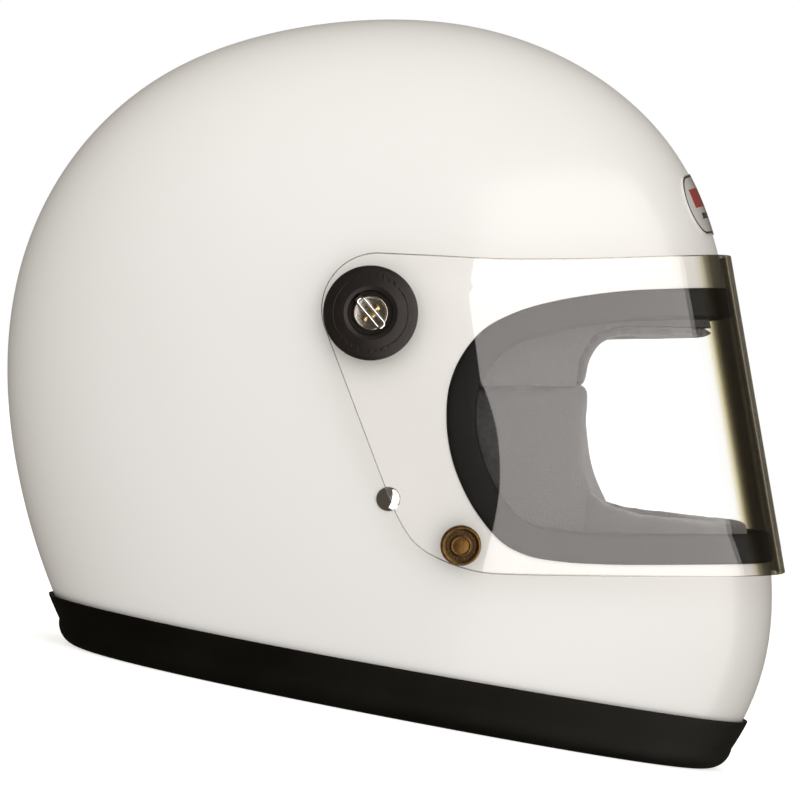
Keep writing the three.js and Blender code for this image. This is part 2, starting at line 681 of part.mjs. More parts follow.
// The short strap ends in a sewn eye that holds both rings.
function leftStrap() {
  const { y, z } = RINGS;
  const path = alongPlane([...STRAP_FALL, [y + 2.7, z]], 16);
  const band = toSolid(ribbon(path, STRAP_WIDTH - 2));
  const stadium = (radius) => {
    const shape = new THREE.Shape();
    shape.absarc(0, EYE.length, radius, 0, Math.PI, false);
    shape.absarc(0, -EYE.length, radius, Math.PI, 2 * Math.PI, false);
    const geometry = new THREE.ExtrudeGeometry(shape, {
      depth: STRAP_WIDTH - 2, bevelEnabled: false, curveSegments: 6,
    });
    geometry.translate(0, 0, -(STRAP_WIDTH - 2) / 2).rotateX(Math.PI / 2).rotateZ(Math.PI / 2);
    return toSolid(geometry.translate(STRAP_X, y, z));
  };
  const hole = stadium(EYE.hole);
  return band.add(stadium(EYE.hole + EYE.wall)).subtract(hole).subtract(strapBore());
}

// A D-shaped ring, `shift` above the middle of the eye that holds its straight bar.
function strapRing(shift) {
  const { y, z, arm, reach, half, wire } = RINGS;
  const corners = [[-half, 1.5], [-half + 1.5, 0], [half - 1.5, 0], [half, 1.5], [half, arm]];
  const bow = Array.from({ length: 7 }, (_, i) => {
    const a = (Math.PI * (i + 1)) / 8;
    return [half * Math.cos(a), arm + (reach - arm) * Math.sin(a)];
  });
  const line = [...corners, ...bow, [-half, arm]];
  const rings = line.map(([x, s], i) => {
    const [px, ps] = line.at(i - 1);
    const [nx, ns] = line[(i + 1) % line.length];
    const length = Math.hypot(nx - px, ns - ps);
    const [ox, os] = [(ns - ps) / length, -(nx - px) / length];
    return Array.from({ length: 8 }, (_, k) => {
      const a = (2 * Math.PI * (k + 0.5)) / 8;
      const [out, up] = [wire * Math.cos(a), wire * Math.sin(a)];
      const along = s + os * out;
      return new THREE.Vector3(STRAP_X + x + ox * out, y - along, z + shift + up);
    });
  });
  return loft(rings, true);
}

// The long strap comes up through both rings and folds back over their bows.
function rightStrap() {
  const { y, z } = RINGS;
  const mirrored = STRAP_FALL.map(([a, b]) => [-a, b]);
  const path = [
    ...mirrored, [-42, -144], [-20, -149.5], [0, -151.4], [y - 25, z - 6.8], [y - 16, z - 5.8],
    [y - 12.4, z - 3], [y - 11.6, z], [y - 12.4, z + 3], [y - 15, z + 5.6], [y - 20, z + 6.3],
    [y - 27, z + 4.2], [0, -143.4], [-12, -143.6],
  ];
  return toSolid(ribbon(alongPlane(path, 42), STRAP_WIDTH)).subtract(strapBore());
}

piece("outer_shell", outerShell(), "shell");
piece("eps_liner", foamLiner(), "foam");
piece("comfort_liner", comfortLiner(), "fabric");
piece("right_cheek_pad", cheekPad(-1), "fabric");
piece("left_cheek_pad", cheekPad(1), "fabric");
piece("chin_bar_foam", chinFoam(), "foam");
piece("neck_roll", neckRoll(), "fabric");
piece("rim_trim", rimTrim(), "rubber");
piece("eyeport_gasket", eyeportGasket(), "rubber");
piece("forehead_badge", foreheadBadge(), "badge");
piece("visor_shield", visorShield(), "clear");
sideHardware("right", -1);
sideHardware("left", 1);
piece("left_strap", leftStrap(), "webbing");
piece("right_strap", rightStrap(), "webbing");
piece("upper_strap_ring", strapRing(EYE.length), "steel");
piece("lower_strap_ring", strapRing(-EYE.length), "steel");

// Set down on the rim, with the middle of the length over the origin.
helmet.updateMatrixWorld(true);
const box = new THREE.Box3().setFromObject(helmet);
helmet.position.set(-(box.min.x + box.max.x) / 2, 0, PIVOT_HEIGHT);

export default root;
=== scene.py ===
"""Looks of a full-face motorcycle helmet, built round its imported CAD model.

Shapes are worked out in millimetres about the visor's pivot, with +X forward, +Y to the wearer's left and
+Z up, and are put into the frame in metres.
"""

import json
import math

import bmesh
import bpy
import numpy as np
from mathutils import Matrix, Vector


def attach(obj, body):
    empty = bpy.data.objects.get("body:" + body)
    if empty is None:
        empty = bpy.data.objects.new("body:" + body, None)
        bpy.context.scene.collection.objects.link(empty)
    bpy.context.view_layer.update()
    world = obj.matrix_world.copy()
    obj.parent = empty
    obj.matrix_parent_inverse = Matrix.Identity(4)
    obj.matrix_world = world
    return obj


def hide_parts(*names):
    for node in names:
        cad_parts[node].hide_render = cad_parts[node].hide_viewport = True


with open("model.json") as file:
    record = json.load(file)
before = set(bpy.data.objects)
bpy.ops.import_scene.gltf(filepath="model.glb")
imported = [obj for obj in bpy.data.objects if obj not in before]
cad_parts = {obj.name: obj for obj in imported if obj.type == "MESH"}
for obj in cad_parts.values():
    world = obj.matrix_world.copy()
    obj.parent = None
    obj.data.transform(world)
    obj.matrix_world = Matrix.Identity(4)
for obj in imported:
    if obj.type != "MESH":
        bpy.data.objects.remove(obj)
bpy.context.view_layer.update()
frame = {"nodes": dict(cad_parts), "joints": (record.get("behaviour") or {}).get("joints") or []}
scene = bpy.context.scene
joints = {j["name"]: j for j in frame["joints"]}

# Driving dimensions, millimetres
MM = 0.001
PIVOT = np.array(joints["visor_pivot"]["pos_m"]) / MM  # every shape is made about the visor's pivot
TILT = 11.0  # degrees that the standing helmet is tipped brow-up from its worn pose
ATTITUDE = math.radians(TILT)
HALF_WIDTH = 122.0
ROUNDNESS = 2.25  # exponent of the shell's cross curve
WALL = 3.5
VISOR_WALL = 2.2
VISOR_STAND_OFF = 6.2
VISOR_CHIN_STAND_OFF = 7.0
VISOR_BROW_STAND_OFF = 4.9
VISOR_BROW_EASE = 7.0  # degrees in which the visor's straight front eases into the shell's curve
VISOR_CHIN_EASE = 9.0
SHELL_CUT = 9.0  # shell edge inside the gasket's outer line
SHELL_FLOOR = 8.0  # shell's lower edge above the rim plane
TRIM_HEIGHT = 20.0
TRIM_SECTION_X = 40.0
FOAM_OUTER = 5.4
LINER_INNER = 42.0
KNOB_BASE = 129.0
HEAD_BASE = KNOB_BASE + 2.6
BAIL_SLANT = 39.0
BAIL_HINGE = 7.35
BAIL_HEIGHT = 2.9
FAR = 320.0
AHEAD = np.array([math.cos(ATTITUDE), 0, math.sin(ATTITUDE)])  # forward and up in the worn pose
UP = np.array([-math.sin(ATTITUDE), 0, math.cos(ATTITUDE)])

# Radius of the middle profile about the pivot, worn pose: degrees from the front, millimetres.
PROFILE = [
    (-90, 242), (-75, 250), (-60, 248), (-50, 240), (-40, 223), (-30, 198), (-20, 175.5),
    (-10, 162), (0, 155), (10, 152), (25, 150), (40, 145.3), (55, 139), (70, 133.3),
    (85, 129.3), (100, 128.7), (115, 132), (130, 138), (150, 146), (170, 153),
    (190, 160), (205, 168), (220, 181), (235, 199), (252, 222), (270, 242),
]
EYEPORT = [
    (FAR, 16), (190, 14), (150.9, 12.2), (124, 10.9), (102.4, 9.4), (74.9, 5), (59.2, 0.3),
    (46.4, -6.6), (37, -17.9), (32.2, -30), (31.1, -43.7), (32.5, -56), (36, -67.5),
    (43, -81), (54, -94), (64.3, -99.4), (78, -102), (96, -103.3), (140, -104.2),
    (190, -105.5), (FAR, -108),
]
VISOR_TOP = [(155, 26.5), (120, 24.2), (85, 22.7), (54, 22.3), (25, 23.6), (3, 24.6)]
VISOR_LOBE = (3, 1.7, 22.9)
VISOR_CORNER = [(5.9, -70.7), (12.4, -85.9), (18.8, -94.8), (29.2, -101.2), (44.8, -106.2), (60, -107.3)]
VISOR_FRONT = [(155, 26.5), (178.4, -109.6)]
STRAP_ANCHOR = (7.2, -76.1)
SNAP = (36.4, -93.9)
BADGE = {"angle": 19, "width": 100, "height": 28}


# The helmet's own surface
def slopes_of(knots):
    """Slopes that make a closed curve through the knots smooth to its second derivative."""
    angle, radius = np.array(knots, float).T
    step = np.diff(angle)
    count = len(step)
    matrix = np.zeros((count, count))
    right = np.zeros(count)
    for i in range(count):
        before, after = step[i - 1], step[i]
        matrix[i, i - 1] += 1 / before
        matrix[i, i] += 2 / before + 2 / after
        matrix[i, (i + 1) % count] += 1 / after
        rise_before = radius[i] - radius[i - 1] if i else radius[0] - radius[-2]
        right[i] = 3 * (rise_before / before**2 + (radius[i + 1] - radius[i]) / after**2)
    found = np.linalg.solve(matrix, right)
    return np.append(found, found[0])


PROFILE_ANGLE, PROFILE_RADIUS = np.array(PROFILE, float).T
PROFILE_SLOPE = slopes_of(PROFILE)


def shell_radius(angle):
    """The middle profile's distance from the pivot, at angles up from the frame's forward."""
    worn = (np.degrees(angle) - TILT + 90) % 360 - 90
    i = np.clip(np.searchsorted(PROFILE_ANGLE, worn, side="right") - 1, 0, len(PROFILE) - 2)
    span = PROFILE_ANGLE[i + 1] - PROFILE_ANGLE[i]
    t = (worn - PROFILE_ANGLE[i]) / span
    r0, r1 = PROFILE_RADIUS[i], PROFILE_RADIUS[i + 1]
    m0, m1 = PROFILE_SLOPE[i] * span, PROFILE_SLOPE[i + 1] * span
    return r0 + t * (m0 + t * (3 * (r1 - r0) - 2 * m0 - m1 + t * (2 * (r0 - r1) + m0 + m1)))


def visor_radius(angle):
    """The visor's front is a flat sheet bent one way, so it is straight from the side.

    Below its front it eases into the shell's own curve without a crease.
    """
    (x0, z0), (x1, z1) = VISOR_FRONT
    facing = math.atan2(x1 - x0, z0 - z1)
    worn = np.arctan2(np.sin(angle - ATTITUDE), np.cos(angle - ATTITUDE))
    distance = x0 * math.cos(facing) + z0 * math.sin(facing)
    high = np.clip((worn - math.atan2(z0, x0)) / math.radians(VISOR_BROW_EASE), 0, 1)
    knee = math.atan2(z1, x1)
    straight = distance / np.cos(np.where((high < 1) & (worn > knee), worn, facing) - facing)
    high = high * high * (3 - 2 * high)
    front = straight + high * (shell_radius(angle) + VISOR_BROW_STAND_OFF - straight)
    nudge = 0.001
    probe = knee + nudge * np.array([-1, 0, 1])
    gaps = distance / np.cos(probe - facing) - shell_radius(probe + ATTITUDE) - VISOR_CHIN_STAND_OFF
    slope = (gaps[0] - gaps[2]) / (2 * nudge)
    reach = math.radians(VISOR_CHIN_EASE)
    below = np.maximum(knee - worn, 0)
    easing = (gaps[1] + (slope + gaps[1] / reach) * below) * np.exp(-below / reach)
    return np.where(worn > knee, front, shell_radius(angle) + VISOR_CHIN_STAND_OFF + easing)


class Skin:
    """A domed surface about the pivot, from its middle profile and its reach to each side."""

    def __init__(self, radius, half_width):
        self.radius = radius
        self.half_width = half_width

    def level(self, p, inset=0.0):
        """1 on the surface, less inside it."""
        along = np.hypot(p[:, 0], p[:, 2]) / (self.radius(np.arctan2(p[:, 2], p[:, 0])) - inset)
        across = np.abs(p[:, 1]) / (self.half_width - inset)
        return (along**ROUNDNESS + across**ROUNDNESS) ** (1 / ROUNDNESS)

    def normal(self, p):
        grad = np.zeros_like(p)
        for axis in range(3):
            step = np.zeros(3)
            step[axis] = 0.5
            grad[:, axis] = self.level(p + step) - self.level(p - step)
        return grad / np.linalg.norm(grad, axis=1, keepdims=True)

    def on(self, p):
        return p / self.level(p)[:, None]

    def sink(self, p, inset):
        """Points of the surface moved along their normals down to the surface at inset."""
        normal = self.normal(p)
        low = np.full(len(p), -12.0)
        high = np.full(len(p), 40.0)
        for _ in range(22):
            depth = (low + high) / 2
            outside = self.level(p - normal * depth[:, None], inset) > 1
            low = np.where(outside, depth, low)
            high = np.where(outside, high, depth)
        return p - normal * low[:, None]

    def half_width_at(self, x, z):
        """Distance of the surface from the middle plane, over side-view points."""
        flat = np.stack([x, np.zeros_like(x), z], axis=1)
        along = np.clip(self.level(flat) ** ROUNDNESS, 0, 1)
        return self.half_width * (1 - along) ** (1 / ROUNDNESS)

    def grid(self, columns, rows):
        """The whole surface as quads round the Y axis, closed by triangles at its two ends."""
        lean = np.pi * np.arange(1, rows) / rows
        share = np.sin(lean) ** (2 / ROUNDNESS)
        half = self.half_width
        y = half * np.sign(np.cos(lean)) * np.abs(np.cos(lean)) ** (2 / ROUNDNESS)
        angle = 2 * np.pi * np.arange(columns) / columns
        radius = self.radius(angle)
        ring = np.stack([radius * np.cos(angle), np.zeros(columns), radius * np.sin(angle)], axis=1)
        points = [np.array([[0, half, 0]])]
        for s, height in zip(share, y):
            points.append(ring * s + np.array([0, height, 0]))
        points.append(np.array([[0, -half, 0]]))
        end = 1 + (rows - 1) * columns
        faces = []
        for c in range(columns):
            n = (c + 1) % columns
            faces.append([0, 1 + n, 1 + c])
            faces.append([end, end - columns + c, end - columns + n])
            for row in range(rows - 2):
                a, b = 1 + row * columns + c, 1 + row * columns + n
                faces.append([a, b, b + columns, a + columns])
        return np.concatenate(points), faces


shell = Skin(shell_radius, HALF_WIDTH)
visor = Skin(visor_radius, HALF_WIDTH + VISOR_STAND_OFF)


def stand(points):
    """Side-view points of the worn pose, turned into the standing one."""
    p = np.array(points, float)
    c, s = math.cos(ATTITUDE), math.sin(ATTITUDE)
    return np.stack([p[..., 0] * c - p[..., 1] * s, p[..., 0] * s + p[..., 1] * c], axis=-1)


def smooth(points, steps):
    """A centripetal spline through the points, with that many steps between two of them."""
    p = np.array(points, float)
    p = np.concatenate([[2 * p[0] - p[1]], p, [2 * p[-1] - p[-2]]])
    t = np.linspace(0, 1, steps, endpoint=False)[:, None]
    out = []
    for p0, p1, p2, p3 in zip(p, p[1:], p[2:], p[3:]):
        d0, d1, d2 = (max(np.linalg.norm(b - a) ** 0.5, 1e-6) for a, b in ((p0, p1), (p1, p2), (p2, p3)))
        m1 = ((p1 - p0) / d0 - (p2 - p0) / (d0 + d1) + (p2 - p1) / d1) * d1
        m2 = ((p2 - p1) / d1 - (p3 - p1) / (d1 + d2) + (p3 - p2) / d2) * d1
        out.append(p1 + t * (m1 + t * (3 * (p2 - p1) - 2 * m1 - m2 + t * (2 * (p1 - p2) + m1 + m2))))
    return np.concatenate([*out, p[-2:-1]])


def run_of(line):
    """Distance along a line, at each of its points."""
    return np.concatenate([[0], np.cumsum(np.linalg.norm(np.diff(line, axis=0), axis=1))])


def resample(points, count, closed=False):
    """Points at equal steps along a line."""
    p = np.concatenate([points, points[:1]]) if closed else points
    along = run_of(p)
    at = np.linspace(0, along[-1], count + 1 if closed else count)
    at = at[:-1] if closed else at
    return np.stack([np.interp(at, along, p[:, k]) for k in range(p.shape[1])], axis=1)


def inside(points, outline):
    """Distance from a side outline's edge, positive inside it."""
    x, z = points[:, 0], points[:, 2]
    best = np.full(len(points), 1e9)
    odd = np.zeros(len(points), bool)
    for (ax, az), (bx, bz) in zip(outline, np.roll(outline, -1, axis=0)):
        dx, dz = bx - ax, bz - az
        t = np.clip(((x - ax) * dx + (z - az) * dz) / max(dx * dx + dz * dz, 1e-9), 0, 1)
        best = np.minimum(best, np.hypot(x - ax - t * dx, z - az - t * dz))
        if dz:
            odd ^= ((az > z) != (bz > z)) & (x < ax + (z - az) * dx / dz)
    return np.where(odd, best, -best)


# Mesh making
def make(name, points, faces, materials, smooth_angle=None):
    """An object from points in millimetres about the pivot."""
    mesh = bpy.data.meshes.new(name)
    mesh.from_pydata(((np.asarray(points) + PIVOT) * MM).tolist(), [], [list(f) for f in faces])
    for m in materials:
        mesh.materials.append(m)
    mesh.validate()
    tidy = bmesh.new()
    tidy.from_mesh(mesh)
    bmesh.ops.recalc_face_normals(tidy, faces=tidy.faces)
    tidy.to_mesh(mesh)
    tidy.free()
    mesh.shade_smooth()
    if smooth_angle is not None:
        mesh.set_sharp_from_angle(angle=math.radians(smooth_angle))
    obj = bpy.data.objects.new(name, mesh)
    scene.collection.objects.link(obj)
    return obj


def clip(points, faces, keep):
    """The part of a surface where keep is positive, cut along its zero line."""
    value = keep(points)
    value = np.where(np.abs(value) < 1e-6, 1e-6, value)
    points = list(points)
    cuts = {}
    kept = []
    for face in faces:
        signs = [value[v] > 0 for v in face]
        if all(signs):
            kept.append(face)
            continue
        if not any(signs):
            continue
        new = []
        for a, b in zip(face, face[1:] + face[:1]):
            if value[a] > 0:
                new.append(a)
            if (value[a] > 0) != (value[b] > 0):
                key = (min(a, b), max(a, b))
                if key not in cuts:
                    t = value[a] / (value[a] - value[b])
                    cuts[key] = len(points)
                    points.append(points[a] * (1 - t) + points[b] * t)
                new.append(cuts[key])
        kept.append(new)
    used = sorted({v for face in kept for v in face})
    place = {v: i for i, v in enumerate(used)}
    return np.array([points[v] for v in used]), [[place[v] for v in face] for face in kept]


def sheet_body(name, skin, points, faces, depth, materials, bulge=0.0, steps=1):
    """A wall of even thickness under a surface, with its own smooth normals and a rounded rim."""
    normals = skin.normal(points)
    count = len(points)
    a, b, c = points[faces[0][0]], points[faces[0][1]], points[faces[0][2]]
    if np.dot(np.cross(b - a, c - a), normals[faces[0][0]]) < 0:
        faces = [f[::-1] for f in faces]
    edges = {(f[i], f[(i + 1) % len(f)]) for f in faces for i in range(len(f))}
    border = [(p, q) for p, q in edges if (q, p) not in edges]
    after = dict(border)
    before = {q: p for p, q in border}
    rim = {}
    verts = [*points, *(points - normals * depth)]
    facing = {}
    for v in after:
        along = points[after[v]] - points[before[v]]
        out = np.cross(along, normals[v])
        out /= max(np.linalg.norm(out), 1e-9)
        chain = [v]
        for k in range(1, steps):
            s = k / steps
            chain.append(len(verts))
            verts.append(points[v] - normals[v] * depth * s + out * bulge * math.sin(math.pi * s))
        chain.append(v + count)
        rim[v] = chain
        for k, index in enumerate(chain):
            turn = math.pi * k / steps
            facing[index] = out if steps == 1 else out * math.sin(turn) + normals[v] * math.cos(turn)
    body = list(faces) + [[v + count for v in f[::-1]] for f in faces]
    skins = len(body)
    for p, q in border:
        for k in range(steps):
            body.append([rim[q][k], rim[p][k], rim[p][k + 1], rim[q][k + 1]])
    mesh = bpy.data.meshes.new(name)
    mesh.from_pydata(((np.array(verts) + PIVOT) * MM).tolist(), [], body)
    for m in materials:
        mesh.materials.append(m)
    mesh.shade_smooth()
    loops = []
    for i, face in enumerate(body):
        if i >= skins:
            mesh.polygons[i].material_index = len(materials) - 1
            loops += [facing[v] for v in face]
        elif i < len(faces):
            loops += [normals[v] for v in face]
        else:
            loops += [-normals[v - count] for v in face]
    mesh.normals_split_custom_set([tuple(n) for n in loops])
    obj = bpy.data.objects.new(name, mesh)
    scene.collection.objects.link(obj)
    return obj


def loft(rings, closed):
    """Points and faces of a body through rings of equally many points."""
    rings = np.array(rings)
    count, size = rings.shape[:2]
    faces = []
    for i in range(count if closed else count - 1):
        n = (i + 1) % count
        for j in range(size):
            k = (j + 1) % size
            faces.append([i * size + j, i * size + k, n * size + k, n * size + j])
    if not closed:
        faces.append(list(range(size))[::-1])
        faces.append([(count - 1) * size + j for j in range(size)])
    return rings.reshape(-1, 3), faces


def lathe(profile, segments=72):
    """Points and faces turned about Y from a profile of (radius, distance out)."""
    points, faces = [], []
    rows = []
    for radius, out in profile:
        if radius < 1e-6:
            rows.append([len(points)] * segments)
            points.append([0, out, 0])
            continue
        rows.append(list(range(len(points), len(points) + segments)))
        for s in range(segments):
            a = 2 * math.pi * s / segments
            points.append([radius * math.cos(a), out, radius * math.sin(a)])
    pairs = list(zip(rows, rows[1:]))
    if profile[0][0] > 1e-6:
        pairs.append((rows[-1], rows[0]))
    for low, high in pairs:
        for s in range(segments):
            n = (s + 1) % segments
            quad = [low[s], low[n], high[n], high[s]]
            quad = [v for i, v in enumerate(quad) if v != quad[i - 1]]
            if len(quad) > 2:
                faces.append(quad)
    return np.array(points, float), faces


def rounded(profile, radius=0.25, steps=3):
    """A profile with its corners eased, apart from those on the axis."""
    p = np.array(profile, float)
    closed = p[0, 0] > 1e-6
    out = []
    for i, point in enumerate(p):
        if not closed and i in (0, len(p) - 1):
            out.append(tuple(point))
            continue
        before, after = p[i - 1] - point, p[(i + 1) % len(p)] - point
        la, lb = np.linalg.norm(before), np.linalg.norm(after)
        cut = min(radius, 0.4 * la, 0.4 * lb)
        start, stop = point + before / la * cut, point + after / lb * cut
        for k in range(steps + 1):
            t = k / steps
            out.append(tuple((1 - t) ** 2 * start + 2 * t * (1 - t) * point + t * t * stop))
    return out


def merge(*parts):
    """Several bodies of points and faces as one."""
    points, faces, shift = [], [], 0
    for p, f in parts:
        points.append(np.asarray(p, float))
        faces += [[v + shift for v in face] for face in f]
        shift += len(p)
    return np.concatenate(points), faces


def block(size, at, turn=0.0, ease=0.25):
    """A small block with eased top edges, turned about Y. Its size is along X, out, and along Z."""
    lx, ly, lz = (s / 2 for s in size)
    rings = []
    for y, k in ((-ly, 0), (ly * 0.3, 0), (ly * 0.8, ease * 0.45), (ly, ease)):
        ring = []
        for i in range(16):
            a = 2 * math.pi * (i + 0.5) / 16
            cx, cz = (lx - k) * np.sign(math.cos(a)), (lz - k) * np.sign(math.sin(a))
            ring.append([
                cx + (abs(math.cos(a)) - 1) * np.sign(math.cos(a)) * min(lx, lz) * 0.35, y,
                cz + (abs(math.sin(a)) - 1) * np.sign(math.sin(a)) * min(lx, lz) * 0.35])
        rings.append(ring)
    points, faces = loft(rings, False)
    c, s = math.cos(turn), math.sin(turn)
    points = points @ np.array([[c, 0, s], [0, 1, 0], [-s, 0, c]])
    return points + np.array(at), faces


def bead(radius, height, at, segments):
    """A small dome that stands a little below its seat."""
    rows = [(radius * math.cos(a), height * math.sin(a)) for a in np.radians([0, 25, 50, 72])]
    points, faces = lathe([(0, -0.4), (radius, -0.4), *rows, (0, height)], segments)
    return points + np.array(at), faces


def wire(line, radius, sides=14, closed=True):
    """A round wire along a line of points."""
    line = np.array(line, float)
    ahead = np.roll(line, -1, axis=0) - np.roll(line, 1, axis=0)
    if not closed:
        ahead[0], ahead[-1] = line[1] - line[0], line[-1] - line[-2]
    ahead /= np.linalg.norm(ahead, axis=1, keepdims=True)
    plane = np.linalg.svd(line - line.mean(0))[2][2]
    side = np.cross(ahead, plane)
    side /= np.linalg.norm(side, axis=1, keepdims=True)
    up = np.cross(side, ahead)
    turns = 2 * np.pi * np.arange(sides) / sides
    rings = [[p + radius * (math.cos(t) * s + math.sin(t) * u) for t in turns]
             for p, s, u in zip(line, side, up)]
    return loft(rings, closed)


def seat(at, sign):
    """Matrix from seat space, +Y out of the shell, to pivot space, on one side of the helmet."""
    x, z = stand(at)
    point = np.array([[x, shell.half_width_at(np.array([x]), np.array([z]))[0], z]])
    normal = shell.normal(point)[0]
    turn = Vector((0, 1, 0)).rotation_difference(Vector(normal)).to_matrix()
    return np.array(turn), point[0], np.array([1, sign, 1])


def placed(points, place):
    """Points of seat space, put into pivot space."""
    turn, origin, mirror = place
    return (points @ turn.T + origin) * mirror


# Materials
def dress(node, **inputs):
    """Sets a node's inputs by name. Colours are given without their alpha."""
    for name, value in inputs.items():
        value = (*value, 1.0) if isinstance(value, tuple) else value
        node.inputs[name.replace("_", " ")].default_value = value
    return node


def ramp(tree, stops, source):
    """Output of a colour ramp through (place, colour) stops, read from a socket."""
    node = tree.nodes.new("ShaderNodeValToRGB")
    elements = node.color_ramp.elements
    for i, (at, colour) in enumerate(stops):
        stop = elements[i] if i < 2 else elements.new(at)
        stop.position = at
        stop.color = (*colour, 1)
    tree.links.new(source, node.inputs["Fac"])
    return node.outputs["Color"]


def raised(tree, height, strength, distance):
    """Lets a socket's value raise the surface."""
    relief = dress(tree.nodes.new("ShaderNodeBump"), Strength=strength, Distance=distance)
    tree.links.new(height, relief.inputs["Height"])
    tree.links.new(relief.outputs["Normal"], tree.nodes["Principled BSDF"].inputs["Normal"])


def material(name, colour, roughness, second=None, scale=60.0, spread=(0.35, 0.65), rough_spread=0.05,
             grain=600.0, bump=0.0, texture="noise", **inputs):
    """A procedural finish: mottled colour, uneven roughness and a fine surface grain."""
    m = bpy.data.materials.new(name)
    m.use_nodes = True
    m.diffuse_color = (*colour, 1)
    tree = m.node_tree
    shader = dress(tree.nodes["Principled BSDF"], **inputs)
    where = tree.nodes.new("ShaderNodeTexCoord").outputs["Object"]
    mottle = dress(tree.nodes.new("ShaderNodeTexNoise"), Scale=scale, Detail=5)
    tree.links.new(where, mottle.inputs["Vector"])
    stops = ((spread[0], colour), (spread[1], second or colour))
    tree.links.new(ramp(tree, stops, mottle.outputs["Fac"]), shader.inputs["Base Color"])
    rough = dress(tree.nodes.new("ShaderNodeMapRange"), To_Min=max(roughness - rough_spread, 0.0),
                  To_Max=min(roughness + rough_spread, 1.0))
    tree.links.new(mottle.outputs["Fac"], rough.inputs["Value"])
    tree.links.new(rough.outputs["Result"], shader.inputs["Roughness"])
    if bump:
        kinds = {"noise": ("ShaderNodeTexNoise", "Fac"), "cells": ("ShaderNodeTexVoronoi", "Distance")}
        kind, height = kinds[texture]
        fine = dress(tree.nodes.new(kind), Scale=grain)
        tree.links.new(where, fine.inputs["Vector"])
        raised(tree, fine.outputs[height], bump, 0.0004)
    return m


def clear_material(name, tints_and_painted_light, base, power, rough):
    """Clear sheet: see-through face on, and mirror-like where it is seen along its surface. Its see-through
    colour follows a ramp over that angle, which gives a tint and can also paint shade and a highlight line.

    tints are (share of grazing, colour) pairs, each for one face of the sheet. base is the mirror's share
    face on, and power is how late it rises towards grazing.
    """
    m = bpy.data.materials.new(name)
    m.use_nodes = True
    m.diffuse_color = (0.8, 0.82, 0.82, 0.3)
    tree = m.node_tree
    tree.nodes.remove(tree.nodes["Principled BSDF"])
    out = tree.nodes["Material Output"]
    facing = dress(tree.nodes.new("ShaderNodeLayerWeight"), Blend=0.5)
    curve = tree.nodes.new("ShaderNodeMath")
    curve.operation = "POWER"
    curve.inputs[1].default_value = power
    tree.links.new(facing.outputs["Facing"], curve.inputs[0])
    share = dress(tree.nodes.new("ShaderNodeMapRange"), To_Min=base, To_Max=0.9)
    tree.links.new(curve.outputs[0], share.inputs["Value"])
    through = tree.nodes.new("ShaderNodeBsdfTransparent")
    tree.links.new(ramp(tree, tints_and_painted_light, facing.outputs["Facing"]), through.inputs["Color"])
    gloss = dress(tree.nodes.new("ShaderNodeBsdfGlossy"), Roughness=rough)
    tree.links.new(share.outputs["Result"], gloss.inputs["Color"])
    both = tree.nodes.new("ShaderNodeAddShader")
    tree.links.new(through.outputs[0], both.inputs[0])
    tree.links.new(gloss.outputs[0], both.inputs[1])
    tree.links.new(both.outputs[0], out.inputs["Surface"])
    return m


def weave_material(name, dark, light):
    """Woven webbing: rows of yarn that cross, laid out along the strap by its own UV."""
    m = material(name, dark, 0.8, second=light, scale=300, Sheen_Weight=0.4)
    tree = m.node_tree
    uv = tree.nodes.new("ShaderNodeUVMap")
    uv.uv_map = "strap"
    cross = tree.nodes.new("ShaderNodeMath")
    cross.operation = "MULTIPLY"
    for k, direction in enumerate("XY"):
        wave = dress(tree.nodes.new("ShaderNodeTexWave"), Scale=1.0)
        wave.bands_direction = direction
        tree.links.new(uv.outputs["UV"], wave.inputs["Vector"])
        tree.links.new(wave.outputs["Fac"], cross.inputs[k])
    raised(tree, cross.outputs[0], 0.9, 0.0005)
    return m


white = material(
    "gloss_white", (0.895, 0.885, 0.87), 0.32, second=(0.905, 0.897, 0.884), scale=9, grain=260, bump=0.012,
    Specular_IOR_Level=0.25, Coat_Weight=0.3, Coat_Roughness=0.14, Coat_IOR=1.45)
rubber = material(
    "black_rubber", (0.004, 0.0038, 0.0026), 0.55, second=(0.0065, 0.006, 0.0045), scale=35, grain=1500,
    bump=0.25, Specular_IOR_Level=0.06)
seal = material(
    "seal_rubber", (0.004, 0.004, 0.0045), 0.6, second=(0.0065, 0.0065, 0.007), scale=50, grain=1400,
    bump=0.3, Specular_IOR_Level=0.12)
# The visor's see-through colours: the stops from 0.54 to 0.85 darken it towards grazing, partly as its tint
# and partly as painted shade, and the light stop at 0.815 is a painted highlight, a thin bright line near its
# edge.
clear = clear_material("clear_visor", [
    (0.0, (0.998, 0.998, 0.997)), (0.51, (0.995, 0.994, 0.99)), (0.54, (0.93, 0.91, 0.82)),
    (0.57, (0.76, 0.725, 0.61)), (0.605, (0.36, 0.345, 0.30)), (0.78, (0.25, 0.24, 0.205)),
    (0.815, (0.76, 0.74, 0.65)), (0.85, (0.24, 0.23, 0.19))], 0.034, 6.0, 0.015)
edge = clear_material("visor_edge", [(0.0, (0.42, 0.40, 0.36)), (1.0, (0.2, 0.17, 0.1))], 0.12, 2.0, 0.1)
moulding = material(
    "knob_moulding", (0.014, 0.0105, 0.0085), 0.42, second=(0.019, 0.014, 0.012), scale=120, grain=2600,
    bump=0.35, Specular_IOR_Level=0.22)
steel = material(
    "plated_steel", (0.62, 0.60, 0.55), 0.24, second=(0.5, 0.47, 0.42), scale=400,
    grain=1800, bump=0.08, Metallic=1.0)
chrome = material(
    "bright_chrome", (0.86, 0.86, 0.87), 0.05, second=(0.8, 0.8, 0.82), scale=300,
    rough_spread=0.02, Metallic=1.0)
gold = material(
    "gilt_steel", (0.66, 0.54, 0.30), 0.28, second=(0.45, 0.34, 0.16), scale=700,
    grain=2000, bump=0.1, Metallic=1.0)
